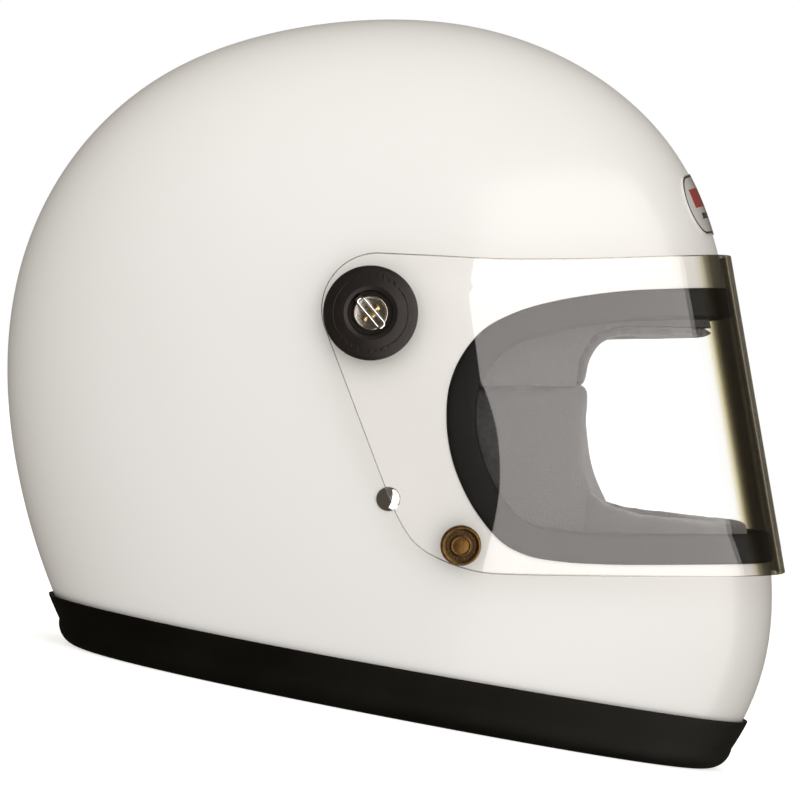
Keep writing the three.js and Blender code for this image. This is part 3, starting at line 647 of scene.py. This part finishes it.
brass = material(
    "aged_brass", (0.15, 0.076, 0.018), 0.4, second=(0.055, 0.028, 0.007), scale=420, spread=(0.42, 0.72),
    rough_spread=0.12, grain=2400, bump=0.3, Metallic=0.85)
brass_dark = material(
    "brass_recess", (0.035, 0.018, 0.006), 0.6, second=(0.08, 0.042, 0.012), scale=600, grain=2400, bump=0.35,
    Metallic=0.6)
nylon = material(
    "black_nylon", (0.02, 0.02, 0.021), 0.5, second=(0.03, 0.03, 0.031), scale=90, grain=1500, bump=0.2)
lining = material(
    "brushed_lining", (0.011, 0.0105, 0.012), 0.95, second=(0.02, 0.019, 0.021), scale=240, grain=1500,
    bump=0.8, Sheen_Weight=0.35, Sheen_Roughness=0.6)
lining_panel = material(
    "lining_panel", (0.02, 0.0195, 0.021), 0.9, second=(0.034, 0.033, 0.035), scale=420, grain=1100, bump=0.9,
    texture="cells", Sheen_Weight=0.3)
bead_foam = material(
    "bead_foam", (0.028, 0.028, 0.03), 0.9, second=(0.045, 0.045, 0.047), scale=200, grain=330, bump=0.9,
    texture="cells")
webbing = weave_material("woven_webbing", (0.014, 0.014, 0.016), (0.028, 0.028, 0.03))
thread = material(
    "sewing_thread", (0.10, 0.10, 0.105), 0.8, second=(0.07, 0.07, 0.072), scale=900, grain=3000, bump=0.4)
lacquer = {"scale": 40, "Coat_Weight": 1.0, "Coat_Roughness": 0.04}
print_white = material("badge_white", (0.84, 0.83, 0.80), 0.25, **lacquer)
print_black = material("badge_black", (0.012, 0.012, 0.013), 0.3, **lacquer)
print_red = material("badge_red", (0.58, 0.025, 0.035), 0.3, second=(0.52, 0.02, 0.03), **lacquer)


# Shell, rim trim and gasket
def finish(obj, body, slot, *nodes):
    """Puts a piece on its body, in place of the CAD nodes that it stands for. slot is not used."""
    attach(obj, body)
    if nodes:
        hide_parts(*nodes)
    return obj


eyeport = stand(smooth(EYEPORT, 12))
rim_plane = -PIVOT[2]

points, faces = shell.grid(256, 104)
points, faces = clip(points, faces, lambda p: SHELL_CUT - inside(p, eyeport))
points, faces = clip(points, faces, lambda p: p[:, 2] - rim_plane - SHELL_FLOOR)
shell_obj = sheet_body("helmet_shell", shell, shell.on(points), faces, WALL, [white])
finish(shell_obj, "root", "shell_gloss", "outer_shell")


def trim_ring(angle, radius, height):
    """Points round the rim's middle, at a height above the rim plane."""
    level = np.zeros(len(angle)) + height + rim_plane
    return np.stack([TRIM_SECTION_X + radius * np.cos(angle), radius * np.sin(angle), level], axis=1)


def section_radius(angle, height, inset):
    """Distance from the rim's middle to the shell, at angles round it."""
    near, far = np.zeros_like(angle), np.full_like(angle, FAR)
    for _ in range(24):
        r = (near + far) / 2
        low = shell.level(trim_ring(angle, r, height), inset) < 1
        near, far = np.where(low, r, near), np.where(low, far, r)
    return near


def rim_trim():
    """A rubber channel over the shell's edge: round foot outside, flat land to stand on."""
    stations = 300
    angle = 2 * np.pi * np.arange(stations) / stations
    top = TRIM_HEIGHT + 1.5 * (1 + np.cos(angle))
    corner, land, proud = 10.0, 11.0, 2.3

    def outside(height, inset=-proud):
        return section_radius(angle, height, inset)

    foot = outside(corner)
    profile = [(outside(top, 0.05), top - 0.6), (outside(top, -0.9), top - 0.15), (outside(top, -1.5), top)]
    profile += [(outside(top, -2.05), top - 0.2), (outside(top - 0.9), top - 0.9)]
    for share in (0.2, 0.5, 0.8):
        height = top - 0.9 + (corner - top + 0.9) * share
        profile.append((outside(height), height))
    for turn in np.radians(np.arange(0, 91, 9)):
        profile.append((foot - corner * (1 - math.cos(turn)), corner * (1 - math.sin(turn))))
    inner = foot - corner - land
    profile += [(inner + 0.8, 0.05), (inner - 0.6, 0.5), (inner - 1.3, 1.4), (inner - 1.5, 3.0)]
    profile += [(inner - 1.5, 7.4), (inner - 1.1, 8.3), (inner - 0.4, 8.6)]
    lip = WALL + 0.1
    for height, inset in ((8.6, lip + 2.6), (9.2, lip + 2.1), (17.2, lip + 2), (18.0, lip + 1), (17.6, lip),
                          (7.4, lip), (7.4, -0.1)):
        profile.append((outside(height, inset), height))
    rings = [trim_ring(angle, r, h) for r, h in profile]
    return loft(np.array(rings).transpose(1, 0, 2), True)


finish(make("rim_rubber", *rim_trim(), [rubber], 50), "root", "rubber", "rim_trim")


def eyeport_line(count):
    """The eyeport's outer line on the shell, all the way round."""
    fine = stand(smooth(EYEPORT, 160))
    width = shell.half_width_at(fine[:, 0], fine[:, 1])
    rear = int(np.argmin(fine[:, 0]))
    side_width = 80.0
    y = np.linspace(0, side_width, 60)
    half = []
    for branch in (np.arange(0, rear), np.arange(len(fine) - 1, rear, -1)):
        shown = branch[: np.argmax(width[branch]) + 1]
        x_at, z_at = (np.interp(y, width[shown], fine[shown, k]) for k in (0, 1))
        front = np.stack([x_at, y, z_at], axis=1)
        rest = shown[width[shown] > side_width]
        tail = branch[len(shown):]
        side = np.concatenate([rest, tail])
        half.append((front, np.stack([fine[side, 0], width[side], fine[side, 1]], axis=1)))
    (top, top_side), (low, low_side) = half
    line = np.concatenate([top, top_side, low_side[::-1], low[::-1]])
    mirrored = line[1:-1][::-1] * np.array([1, -1, 1])
    return resample(np.concatenate([line, mirrored]), count, closed=True)


def gasket():
    """A rubber U that grips the shell's edge all round the eyeport, with a soft outer lip."""
    profile = [
        (-0.1, 0.1), (0.0, -0.7), (0.5, -1.25), (1.3, -1.55), (3, -1.72), (5.5, -1.8), (8.5, -1.78),
        (10.6, -1.6), (11.8, -1.15), (12.4, -0.4), (12.5, 0.6), (12.5, 5.9), (12.2, 6.8), (11.4, 7.2),
        (5.6, 7.2), (3.9, 6.9), (3.2, 6.0), (3.2, 3.6), (9.2, 3.6), (9.2, -0.1)]
    line = eyeport_line(560)
    ahead = np.roll(line, -1, axis=0) - np.roll(line, 1, axis=0)
    inward = np.cross(shell.normal(line), ahead)
    inward /= np.linalg.norm(inward, axis=1, keepdims=True)
    middle = np.array([110, 0, -48])
    inward *= np.where(np.sum(inward * (middle - line), axis=1) < 0, -1, 1)[:, None]
    rings = [shell.sink(shell.on(line + inward * u), inset) for u, inset in profile]
    return loft(np.array(rings).transpose(1, 0, 2), True)


finish(make("eyeport_seal", *gasket(), [seal], 55), "root", "rubber", "eyeport_gasket")


# Visor
VISOR_REAR = -60.0
PIVOT_HOLE = 8.7


def visor_outline():
    """The visor's edge in side view, left open towards the front."""
    x, z, r = VISOR_LOBE
    arc = [(x + r * math.cos(a), z + r * math.sin(a)) for a in np.radians(np.linspace(90, 200.7, 40))]
    top, corner = smooth(VISOR_TOP, 10)[:-1], smooth(VISOR_CORNER, 10)
    return stand([(FAR, 33), *top, *arc, *corner, VISOR_FRONT[1], (FAR, -113.5)])


points, faces = visor.grid(320, 132)
points, faces = clip(points, faces, lambda p: p[:, 0] - VISOR_REAR)
points, faces = clip(points, faces, lambda p: inside(p, visor_outline()))
points, faces = clip(points, faces, lambda p: np.hypot(p[:, 0], p[:, 2]) - PIVOT_HOLE)
visor_obj = sheet_body("visor_sheet", visor, visor.on(points), faces, VISOR_WALL, [clear, edge], 0.35, 5)
finish(visor_obj, "visor", "clear", "visor_shield")


# Badge
def pill_depth(u, v, across, tall):
    """How far a point of the badge lies inside its outline."""
    over = max(abs(u) - (across - tall), 0)
    return tall - math.hypot(over, v)


def badge_print(u, v, across, tall):
    """Which print covers a point of the badge: 0 white, 1 black, 2 red."""
    depth = pill_depth(u, v, across, tall)
    within = depth > 2.2
    if within and abs(u) < across - 9 and -1.2 < v < 7.4:
        return 2
    if within and abs(u) < across - 15 and -6.8 < v < -4.0:
        return 1
    return 1 if 0.5 < depth < 1.5 else 0


def badge():
    """A pill-shaped transfer on the brow: white with a thin outline, a red band and a thin black one."""
    across, tall = BADGE["width"] / 2, BADGE["height"] / 2
    middle = math.radians(BADGE["angle"]) + ATTITUDE
    reach = float(shell_radius(np.array([middle]))[0])
    count = 240
    insets = [0.0, 0.5, 1.5, 2.2, 4.0]
    loops = []
    for inset in insets:
        r = tall - inset
        half = across - tall
        caps = [(half + r * math.cos(a), r * math.sin(a)) for a in np.radians(np.linspace(-90, 90, 29))]
        loop = caps + [(-u, -v) for u, v in caps]
        loops.append(resample(np.array(loop), count, closed=True))
    base = bmesh.new()
    verts = [base.verts.new((u, v, 0)) for u, v in np.concatenate(loops)]
    for k in range(0, count * (len(loops) - 1), count):
        for j in range(count):
            n = (j + 1) % count
            base.faces.new([verts[i] for i in (k + j, k + n, k + count + n, k + count + j)])
    base.faces.new(verts[-count:])
    low = insets[-1] - tall
    cuts = [((0, v, 0), (0, 1, 0)) for v in np.linspace(low, -low, 61)[1:-1]]
    cuts += [((u, 0, 0), (1, 0, 0)) for u in np.linspace(-across, across, 81)[1:-1]]
    for at, way in cuts:
        geometry = base.verts[:] + base.edges[:] + base.faces[:]
        bmesh.ops.bisect_plane(base, geom=geometry, plane_co=at, plane_no=way)
    base.verts.index_update()
    uv = np.array([(v.co.x, v.co.y) for v in base.verts])
    centres = [face.calc_center_median() for face in base.faces]
    tags = [badge_print(c.x, c.y, across, tall) for c in centres]
    faces = [[v.index for v in face.verts] for face in base.faces]
    base.free()
    turn = middle + uv[:, 1] / reach
    share = np.clip(1 - (np.abs(uv[:, 0]) / HALF_WIDTH) ** ROUNDNESS, 0, 1) ** (1 / ROUNDNESS)
    on_profile = shell_radius(turn)
    spot = np.stack([on_profile * np.cos(turn) * share, uv[:, 0], on_profile * np.sin(turn) * share], axis=1)
    return shell.sink(shell.on(spot), -0.5), faces, tags


points, faces, tags = badge()
badge_obj = sheet_body("brow_badge", shell, points, faces, 0.6, [print_white, print_black, print_red])
for i, tag in enumerate(tags):
    badge_obj.data.polygons[i].material_index = tag
for face in badge_obj.data.polygons[len(tags):]:
    face.material_index = 0
finish(badge_obj, "root", "badge", "forehead_badge")


# Side hardware
KNOB_RING = 15.4  # radius of the raised ticks and arcs


def knob_parts():
    """A dished knob with a stepped ring, a recess, and raised ticks above and below, with arcs between."""
    b = KNOB_BASE
    body = lathe(rounded([
        (3.6, b), (18.4, b), (19.5, b + 0.9), (19.3, b + 1.9), (17.9, b + 3.0), (13, b + 4.9),
        (11.3, b + 5.4), (10.9, b + 5.45), (10.4, b + 5.15), (9.6, b + 4.9), (9.1, b + 4.4), (9, b + 2.3),
        (3.6, b + 2.3)], 0.5, 4), 120)
    ticks = []
    for middle in (90, 270):
        for k in range(-5, 6):
            a = math.radians(middle + 10 * k)
            size = (2.4 if k % 2 else 1.5, 0.5, 0.55)
            ticks.append(block(size, (KNOB_RING * math.cos(a), b + 4.08, KNOB_RING * math.sin(a)), -a, 0.15))
    for start in (-38, 142):
        arc = np.radians(np.linspace(start, start + 76, 20))
        line = [(KNOB_RING * math.cos(a), b + 3.92, KNOB_RING * math.sin(a)) for a in arc]
        ticks.append(wire(line, 0.28, 8, closed=False))
    return merge(body, *ticks)


def stud_parts():
    """A quarter-turn fastener's shank, its rimmed head, and the lug that holds the bail."""
    h = HEAD_BASE
    head = lathe(rounded([
        (0, 109), (2.4, 109), (2.9, 109.6), (2.9, h), (7.1, h), (7.1, h + 1.7), (6.9, h + 2), (6.35, h + 2),
        (6.1, h + 1.7), (6.1, h + 0.9), (2.9, h + 0.7), (0, h + 0.7)], 0.15, 3), 72)
    lug = block((2.2, 2.4, 3.4), (-BAIL_HINGE, h + 1.6, 0), 0, 0.3)
    return merge(head, lug)


def fitting_parts():
    """The gilt boss in the head and its cross arms."""
    h = HEAD_BASE
    profile = [(0, h + 0.6), (2.4, h + 0.6), (2.4, h + 1.5), (2.0, h + 1.9), (0, h + 2.05)]
    boss = lathe(rounded(profile, 0.2, 3), 48)
    bar = block((1.5, 1.1, 8.6), (0, h + 1.15, 0), 0, 0.3)
    ends = [block((2.6, 0.9, 1.6), (0, h + 1.1, z), 0, 0.3) for z in (3.4, -3.4)]
    return merge(boss, bar, *ends)


def bail_parts():
    """A long thin wire loop over the head."""
    half, corner, radius = 1.55, 1.2, 0.55
    line = []
    for sx, sz, start in ((1, 1, 0), (-1, 1, 90), (-1, -1, 180), (1, -1, 270)):
        for a in np.radians(np.linspace(start, start + 90, 9)):
            line.append((sx * (BAIL_HINGE - corner) + corner * math.cos(a), HEAD_BASE + BAIL_HEIGHT,
                         sz * (half - corner) + corner * math.sin(a)))
    return wire(line, radius, 14)


def cap_parts():
    """A press-stud cap: rolled rim, a channel with small beads, and a domed middle in a raised ring."""
    body = lathe(rounded([
        (0, 2.6), (1.7, 2.6), (1.7, 6.5), (8, 6.5), (8.4, 7.0), (8.4, 8.2), (7.9, 9.05), (7.3, 9.1),
        (6.8, 8.6), (6.4, 8.25), (4.7, 8.25), (4.3, 8.6), (3.9, 8.9), (3.5, 8.55), (2.9, 8.6), (0, 9.1)],
        0.22, 4), 84)
    beads = []
    for k in range(22):
        a = 2 * math.pi * k / 22
        beads.append(bead(0.42, 0.38, (5.55 * math.cos(a), 8.25, 5.55 * math.sin(a)), 10))
    return merge(body, *beads)


RIVET = rounded([(0, -12), (4.4, -12), (4.4, -10.6), (2.5, -10.4), (2.5, 0.0), (5.3, 0.0)], 0.2, 2)
RIVET += [(5.3 * math.cos(a), 0.15 + 2.15 * math.sin(a)) for a in np.radians(np.arange(4, 86, 8))]
RIVET.append((0, 2.3))


def spun(points, degrees):
    """Turned about Y, as the fastener lies slanted on the knob."""
    a = math.radians(degrees)
    c, s = math.cos(a), math.sin(a)
    return points @ np.array([[c, 0, -s], [0, 1, 0], [s, 0, c]])


def recoat(node, look):
    """Gives a CAD piece that stays in view its own finish."""
    part = frame["nodes"][node]
    part.data.materials.clear()
    part.data.materials.append(look)


def channelled(cap, place):
    """Gives the floor of a snap cap's channel its dark finish."""
    turn, origin, mirror = place
    for face in cap.data.polygons:
        local = ((np.array(face.center) / MM - PIVOT) * mirror - origin) @ turn
        if local[1] < 8.45 and 4.4 < math.hypot(local[0], local[2]) < 6.7:
            face.material_index = 1


for side, sign in (("right", -1), ("left", 1)):
    mirror = np.array([1, sign, 1])
    for piece, (points, faces), finishes, angle, body, slot, node in (
        ("knob", knob_parts(), [moulding], 40, "root", "knob_black", "pivot_knob"),
        ("stud", stud_parts(), [steel], 40, "fastener", "steel", "fastener_stud"),
        ("stud_fitting", fitting_parts(), [gold], 40, "fastener", "steel", None),
        ("bail_wire", bail_parts(), [chrome], 60, "bail", "steel", "fastener_bail"),
    ):
        slanted = points if body == "root" else spun(points, BAIL_SLANT)
        obj = make(f"{side}_{piece}", slanted * mirror, faces, finishes, angle)
        nodes = [f"{side}_{node}"] if node else []
        finish(obj, body if body == "root" else f"{side}_{body}", slot, *nodes)
    points, faces = lathe(RIVET, 64)
    rivet = make(f"{side}_rivet_dome", placed(points, seat(STRAP_ANCHOR, sign)), faces, [chrome], 40)
    finish(rivet, "root", "chrome", f"{side}_strap_rivet")
    points, faces = cap_parts()
    place = seat(SNAP, sign)
    cap = make(f"{side}_press_cap", placed(points, place), faces, [brass, brass_dark], 40)
    channelled(cap, place)
    finish(cap, "visor", "brass", f"{side}_snap_cap")
    for part, look in (("pivot_insert", steel), ("base_washer", nylon), ("pivot_bush", nylon),
                       ("strap_washer", steel), ("snap_stud", brass), ("snap_socket", brass)):
        recoat(f"{side}_{part}", look)
recoat("eps_liner", bead_foam)


# Soft lining
def coordinates(obj):
    """An object's vertices, in metres."""
    co = np.zeros(len(obj.data.vertices) * 3)
    obj.data.vertices.foreach_get("co", co)
    return co.reshape(-1, 3)


def set_coordinates(obj, co):
    obj.data.vertices.foreach_set("co", np.asarray(co, float).ravel())
    obj.data.update()


def applied(obj):
    """Replaces an object's mesh by its modified one."""
    view = bpy.context.evaluated_depsgraph_get()
    mesh = bpy.data.meshes.new_from_object(obj.evaluated_get(view))
    obj.modifiers.clear()
    obj.data = mesh


def remeshed(node, name, look, voxel, easing=4):
    """A copy of a plain CAD pad as one even mesh."""
    obj = bpy.data.objects.new(name, frame["nodes"][node].data.copy())
    scene.collection.objects.link(obj)
    obj.data.materials.clear()
    remesh = obj.modifiers.new("even", "REMESH")
    remesh.mode = "VOXEL"
    remesh.voxel_size = voxel * MM
    remesh.use_smooth_shade = True
    ease = obj.modifiers.new("ease", "SMOOTH")
    ease.factor = 0.5
    ease.iterations = easing
    applied(obj)
    obj.data.materials.append(look)
    return obj


def inside_shell(co, inset):
    """Points pulled back to the surface at inset where they lie beyond it."""
    p = co / MM - PIVOT
    over = np.maximum(shell.level(p, inset), 1)
    return (p / over[:, None] + PIVOT) * MM


def meeting_liner(co):
    """A cheek pad's top pressed up against the crown lining, and its front edge bulging into the opening."""
    p = co / MM - PIVOT
    height = np.clip((p @ UP + 48) / 18, 0, 1)
    low = np.clip((-54 - p @ UP) / 24, 0, 1)
    top = np.clip((p @ UP + 44) / 12, 0, 1)
    front = np.clip((p @ AHEAD - 74) / 16, 0, 1) ** 2
    bulge = front * (1.8 + 7 * low**2 + 5 * top)
    return (p + UP * (3.2 * height**2 + 2.6 * front * top)[:, None] + AHEAD * bulge[:, None] + PIVOT) * MM


def meeting_pads(co):
    """The chin bar cover's rear ends drawn back against the cheek pads."""
    p = co / MM - PIVOT
    share = np.clip((102 - p @ AHEAD) / 12, 0, 1)
    return (p - AHEAD * (4.5 * share)[:, None] + PIVOT) * MM


def puffed(node, name, look, voxel, cap, shrink, easing):
    """A stuffed piece: the plain solid, a little smaller, swollen by a cloth simulation up to a cap."""
    obj = remeshed(node, name, look, voxel, easing)
    start = coordinates(obj)
    normals = np.array([v.normal[:] for v in obj.data.vertices])
    start = start - normals * shrink * MM
    set_coordinates(obj, start)
    cloth = obj.modifiers.new("swell", "CLOTH")
    cloth.settings.use_pressure = True
    cloth.settings.uniform_pressure_force = 4
    cloth.settings.effector_weights.gravity = 0
    cloth.settings.quality = 5
    for step in range(1, 21):
        scene.frame_set(step)
    view = bpy.context.evaluated_depsgraph_get()
    swollen = np.array([v.co[:] for v in obj.evaluated_get(view).data.vertices])
    obj.modifiers.clear()
    scene.frame_set(1)
    move = swollen - start
    length = np.linalg.norm(move, axis=1, keepdims=True)
    start = start + move * np.minimum(1, cap * MM / np.maximum(length, 1e-9))
    if "cheek" in node:
        start = meeting_liner(start)
    if "chin" in node:
        start = meeting_pads(start)
    set_coordinates(obj, inside_shell(start, FOAM_OUTER))
    divide = obj.modifiers.new("fine", "SUBSURF")
    divide.levels = divide.render_levels = 1
    applied(obj)
    obj.data.shade_smooth()
    return obj


def quilt(angle, y):
    """Depth of the crown lining's sewn channels: two along the head on each side, the rest across it."""
    inner, outer, depth = 30, 62, 2.4
    along = np.minimum(np.abs(np.abs(y) - inner), np.abs(np.abs(y) - outer))
    across = np.abs((np.degrees(angle) - 12) % 26 - 13)
    groove = np.exp(-((along / 2.2) ** 2)) + 0.9 * np.exp(-((across / 1.15) ** 2)) * (np.abs(y) < outer)
    return depth * np.minimum(groove, 1)


# The lining's inner face is drawn onto the even surface and quilted, apart from its thin edge at the brow.
liner = remeshed("comfort_liner", "crown_lining", lining, 2.6)
p = coordinates(liner) / MM - PIVOT
depth = (1 - shell.level(p, LINER_INNER)) * shell.half_width
angle = np.arctan2(p[:, 2], p[:, 0])
near = np.exp(-((np.maximum(np.abs(depth) - 1.5, 0) / 1.2) ** 2))
target = p / shell.level(p, LINER_INNER)[:, None]
target += shell.normal(target) * quilt(angle, p[:, 1])[:, None]
brow = np.clip((150 - np.hypot(p[:, 0], p[:, 2])) / 12, 0, 1)
p = p + (target - p) * (near * brow)[:, None]
set_coordinates(liner, (p + PIVOT) * MM)
finish(liner, "root", "lining", "comfort_liner")

for node, name, voxel, cap, shrink, easing in (
    ("right_cheek_pad", "right_cheek_cushion", 4.2, 5.0, 1.6, 4),
    ("left_cheek_pad", "left_cheek_cushion", 4.2, 5.0, 1.6, 4),
    ("neck_roll", "neck_cushion", 4.0, 3.5, 1.6, 4),
    ("chin_bar_foam", "chin_bar_cover", 2.6, 1.2, 0.2, 2),
):
    look = lining_panel if "cheek" in node else lining
    finish(puffed(node, name, look, voxel, cap, shrink, easing), "root", "lining", node)


# Chin strap
STRAP_X = float(stand(STRAP_ANCHOR)[0])
STRAP_FALL = [(111.4, -63), (111.4, -74), (111.1, -85), (105.5, -99), (94, -114), (77, -128), (60, -137)]
RING_Y, RING_Z = 37.0, -144.5
STRAP_WIDTH = 24.0


def ribbon(path, width, count):
    """Webbing along a path of (y, z): rounded edges, and a UV that runs along it."""
    line = resample(smooth(path, 12), count)
    ahead = np.gradient(line, axis=0)
    ahead /= np.linalg.norm(ahead, axis=1, keepdims=True)
    out = np.stack([-ahead[:, 1], ahead[:, 0]], axis=1)
    section = []
    for k in range(33):
        u = -1 + k / 16
        section.append((u, 1.0 if abs(u) < 0.96 else 0.35))
    section = section + [(u, -t) for u, t in section[::-1]]
    rings = []
    for (y, z), (oy, oz) in zip(line, out):
        rings.append([[STRAP_X + u * width / 2, y + t * 0.75 * oy, z + t * 0.75 * oz] for u, t in section])
    return loft(rings, False), line, out


def lay_weave(obj, along):
    """Lays the weave over a strap, from each vertex's distance along it. One unit is one pair of yarns."""
    layer = obj.data.uv_layers.new(name="strap")
    across = coordinates(obj)[:, 0] / MM - PIVOT[0]
    for loop in obj.data.loops:
        v = loop.vertex_index
        layer.data[loop.index].uv = (across[v] * 0.45, along[v] * 0.32)


def stitch_rows(line, out, rows, start, stop, side):
    """Short raised stitches along a strap."""
    along = run_of(line)
    parts = []

    def at_run(values, distance):
        return np.array([np.interp(distance, along, values[:, k]) for k in (0, 1)])

    for offset in rows:
        at = start
        while at < stop:
            lift = at_run(out, at) * side
            bends = ((0.0, 0.7), (1.2, 1.0), (2.4, 0.7))
            points = [[STRAP_X + offset, *(at_run(line, at + run) + lift * high)] for run, high in bends]
            parts.append(wire(points, 0.28, 6, closed=False))
            at += 3.2
    return merge(*parts)


def d_ring(shift):
    """A D of steel wire, flat side in the short strap's eye."""
    arm, reach, half, bend = 13.0, 21.0, 14.2, 1.5
    quarter, sweep = np.radians(np.arange(90, -1, -15)), np.radians(np.arange(0, 181, 7.5))
    corner = [(-half + bend - bend * math.sin(a), bend - bend * math.cos(a)) for a in quarter]
    bow = [(half * math.cos(a), arm + (reach - arm) * math.sin(a)) for a in sweep]
    flat = corner + [(-x, s) for x, s in corner[::-1]] + bow
    line = resample(np.array(flat), 110, closed=True)
    points = [(STRAP_X + x, RING_Y - s, RING_Z + shift) for x, s in line]
    return wire(points, 1.6, 16)


RING_LIFT = 1.9  # each ring's distance from the level between the two
EYE_RADIUS = 2.85
left_path = [*STRAP_FALL, (RING_Y + 2.7, RING_Z)]
body, line, out = ribbon(left_path, STRAP_WIDTH - 2, 90)
eye_rings = []
for a in np.radians(np.linspace(0, 360, 40, endpoint=False)):
    y = RING_Y + EYE_RADIUS * math.cos(a)
    z = RING_Z + RING_LIFT * np.sign(math.sin(a)) + EYE_RADIUS * math.sin(a)
    d = np.array([y - RING_Y, z - RING_Z - RING_LIFT * np.sign(z - RING_Z)])
    d /= max(np.linalg.norm(d), 1e-9)
    eye_rings.append([[STRAP_X + u * 11, y + d[0] * t, z + d[1] * t] for u, t in
                      ((-1, -0.75), (1, -0.75), (1, 0.75), (-1, 0.75))])
left_strap = make("short_strap", *merge(body, loft(eye_rings, True)), [webbing], 50)
place = coordinates(left_strap) / MM - PIVOT
lay_weave(left_strap, np.hypot(place[:, 1], place[:, 2]))
finish(left_strap, "chin_strap", "webbing", "left_strap")
left_stitch = make("short_strap_stitches", *stitch_rows(line, out, (-9, 9, -3, 3), 62, 84, 1), [thread], 60)
finish(left_stitch, "chin_strap", "webbing")

right_path = [(-y, z) for y, z in STRAP_FALL] + [
    (-42, -144), (-20, -149.5), (0, -151.4), (RING_Y - 25, RING_Z - 6.8), (RING_Y - 16, RING_Z - 5.8),
    (RING_Y - 12.4, RING_Z - 3), (RING_Y - 11.6, RING_Z), (RING_Y - 12.4, RING_Z + 3),
    (RING_Y - 15, RING_Z + 5.6), (RING_Y - 20, RING_Z + 6.3), (RING_Y - 27, RING_Z + 4.2), (0, -143.4),
    (-12, -143.6)]
body, line, out = ribbon(right_path, STRAP_WIDTH, 200)
right_strap = make("long_strap", *body, [webbing], 50)
lay_weave(right_strap, np.repeat(run_of(line), len(right_strap.data.vertices) // len(line)))
finish(right_strap, "chin_strap", "webbing", "right_strap")
right_stitch = make("long_strap_stitches", *stitch_rows(line, out, (-10, 10), 14, 130, -1), [thread], 60)
finish(right_stitch, "chin_strap", "webbing")
for name, shift in (("upper_strap_ring", RING_LIFT), ("lower_strap_ring", -RING_LIFT)):
    finish(make(f"{name}_wire", *d_ring(shift), [steel], 60), "chin_strap", "steel", name)

# Floor, light and camera
bpy.ops.mesh.primitive_plane_add(size=14, location=(0, 0, 0))
floor = bpy.context.object
floor.name = "studio_floor"
floor.data.materials.append(material(
    "pale_floor", (0.9, 0.895, 0.885), 0.8, scale=3, rough_spread=0.02, Emission_Color=(1.0, 0.995, 0.985),
    Emission_Strength=0.7))
floor.visible_glossy = False
floor.visible_diffuse = False


def softbox(name, azimuth, elevation, distance, size, radiance, mirrored, colour=(1.0, 0.985, 0.96)):
    """A rectangle of light facing the helmet. Azimuth 0 is the helmet's right side, 90 its front.

    It either shows in the surfaces' gloss, when mirrored, or lights them, so that each can be set alone.
    """
    light = bpy.data.lights.new(name, "AREA")
    light.shape = "RECTANGLE"
    light.size, light.size_y = size
    light.energy = radiance * math.pi * size[0] * size[1]
    light.color = colour
    a, e = math.radians(azimuth), math.radians(elevation)
    aim = Vector((PIVOT * MM).tolist())
    way = Vector((math.sin(a) * math.cos(e), -math.cos(a) * math.cos(e), math.sin(e)))
    obj = bpy.data.objects.new(name, light)
    obj.location = aim + way * distance
    obj.rotation_euler = (-way).to_track_quat("-Z", "Y").to_euler()
    scene.collection.objects.link(obj)
    obj.visible_camera = False
    obj.visible_glossy = mirrored
    obj.visible_diffuse = not mirrored


softbox("front_reflection", 61, -3, 1.6, (3.1, 4.6), 3.1, True, (1.0, 0.95, 0.925))
softbox("side_light", 4, 18, 2.3, (3.0, 2.6), 0.78, False)
softbox("top_light", 10, 80, 1.8, (2.4, 2.4), 0.5, False)

def seen_by(kind, otherwise, colour):
    """The world's colour for one kind of ray, and another socket's for the rest."""
    mix = tree.nodes.new("ShaderNodeMix")
    mix.data_type = "RGBA"
    dress(mix, B=colour)
    tree.links.new(path.outputs[kind], mix.inputs["Factor"])
    tree.links.new(otherwise, mix.inputs["A"])
    return mix.outputs["Result"]


world = bpy.data.worlds.new("studio")
scene.world = world
world.use_nodes = True
tree = world.node_tree
background = tree.nodes["Background"]
path = tree.nodes.new("ShaderNodeLightPath")
where = tree.nodes.new("ShaderNodeTexCoord")
split = tree.nodes.new("ShaderNodeSeparateXYZ")
tree.links.new(where.outputs["Generated"], split.inputs[0])
spread = dress(tree.nodes.new("ShaderNodeMapRange"), From_Min=-0.4, From_Max=0.8)
tree.links.new(split.outputs["Y"], spread.inputs["Value"])
right_side, left_side = (0.70, 0.68, 0.655), (0.31, 0.265, 0.205)
fade = ramp(tree, ((0.0, right_side), (1.0, left_side)), spread.outputs["Result"])
mirrored_world = seen_by("Is Glossy Ray", fade, (0.085, 0.072, 0.055))
backdrop = seen_by("Is Camera Ray", mirrored_world, (1.0, 1.0, 1.0))
tree.links.new(backdrop, background.inputs["Color"])

CAMERA_DISTANCE = 2200.0
CAMERA_SHIFT = (18.55, -32.56)  # forward and up from the pivot
camera_data = bpy.data.cameras.new("camera")
camera_data.lens = 228.4
camera_data.sensor_width = 36
camera = bpy.data.objects.new("camera", camera_data)
scene.collection.objects.link(camera)
c, s = math.cos(ATTITUDE), math.sin(ATTITUDE)
eye = (PIVOT + np.array([CAMERA_SHIFT[0], -CAMERA_DISTANCE, CAMERA_SHIFT[1]])) * MM
camera.matrix_world = Matrix((
    (c, -s, 0, eye[0]),
    (0, 0, -1, eye[1]),
    (s, c, 0, eye[2]),
    (0, 0, 0, 1),
))
scene.camera = camera
scene.view_settings.view_transform = "Standard"
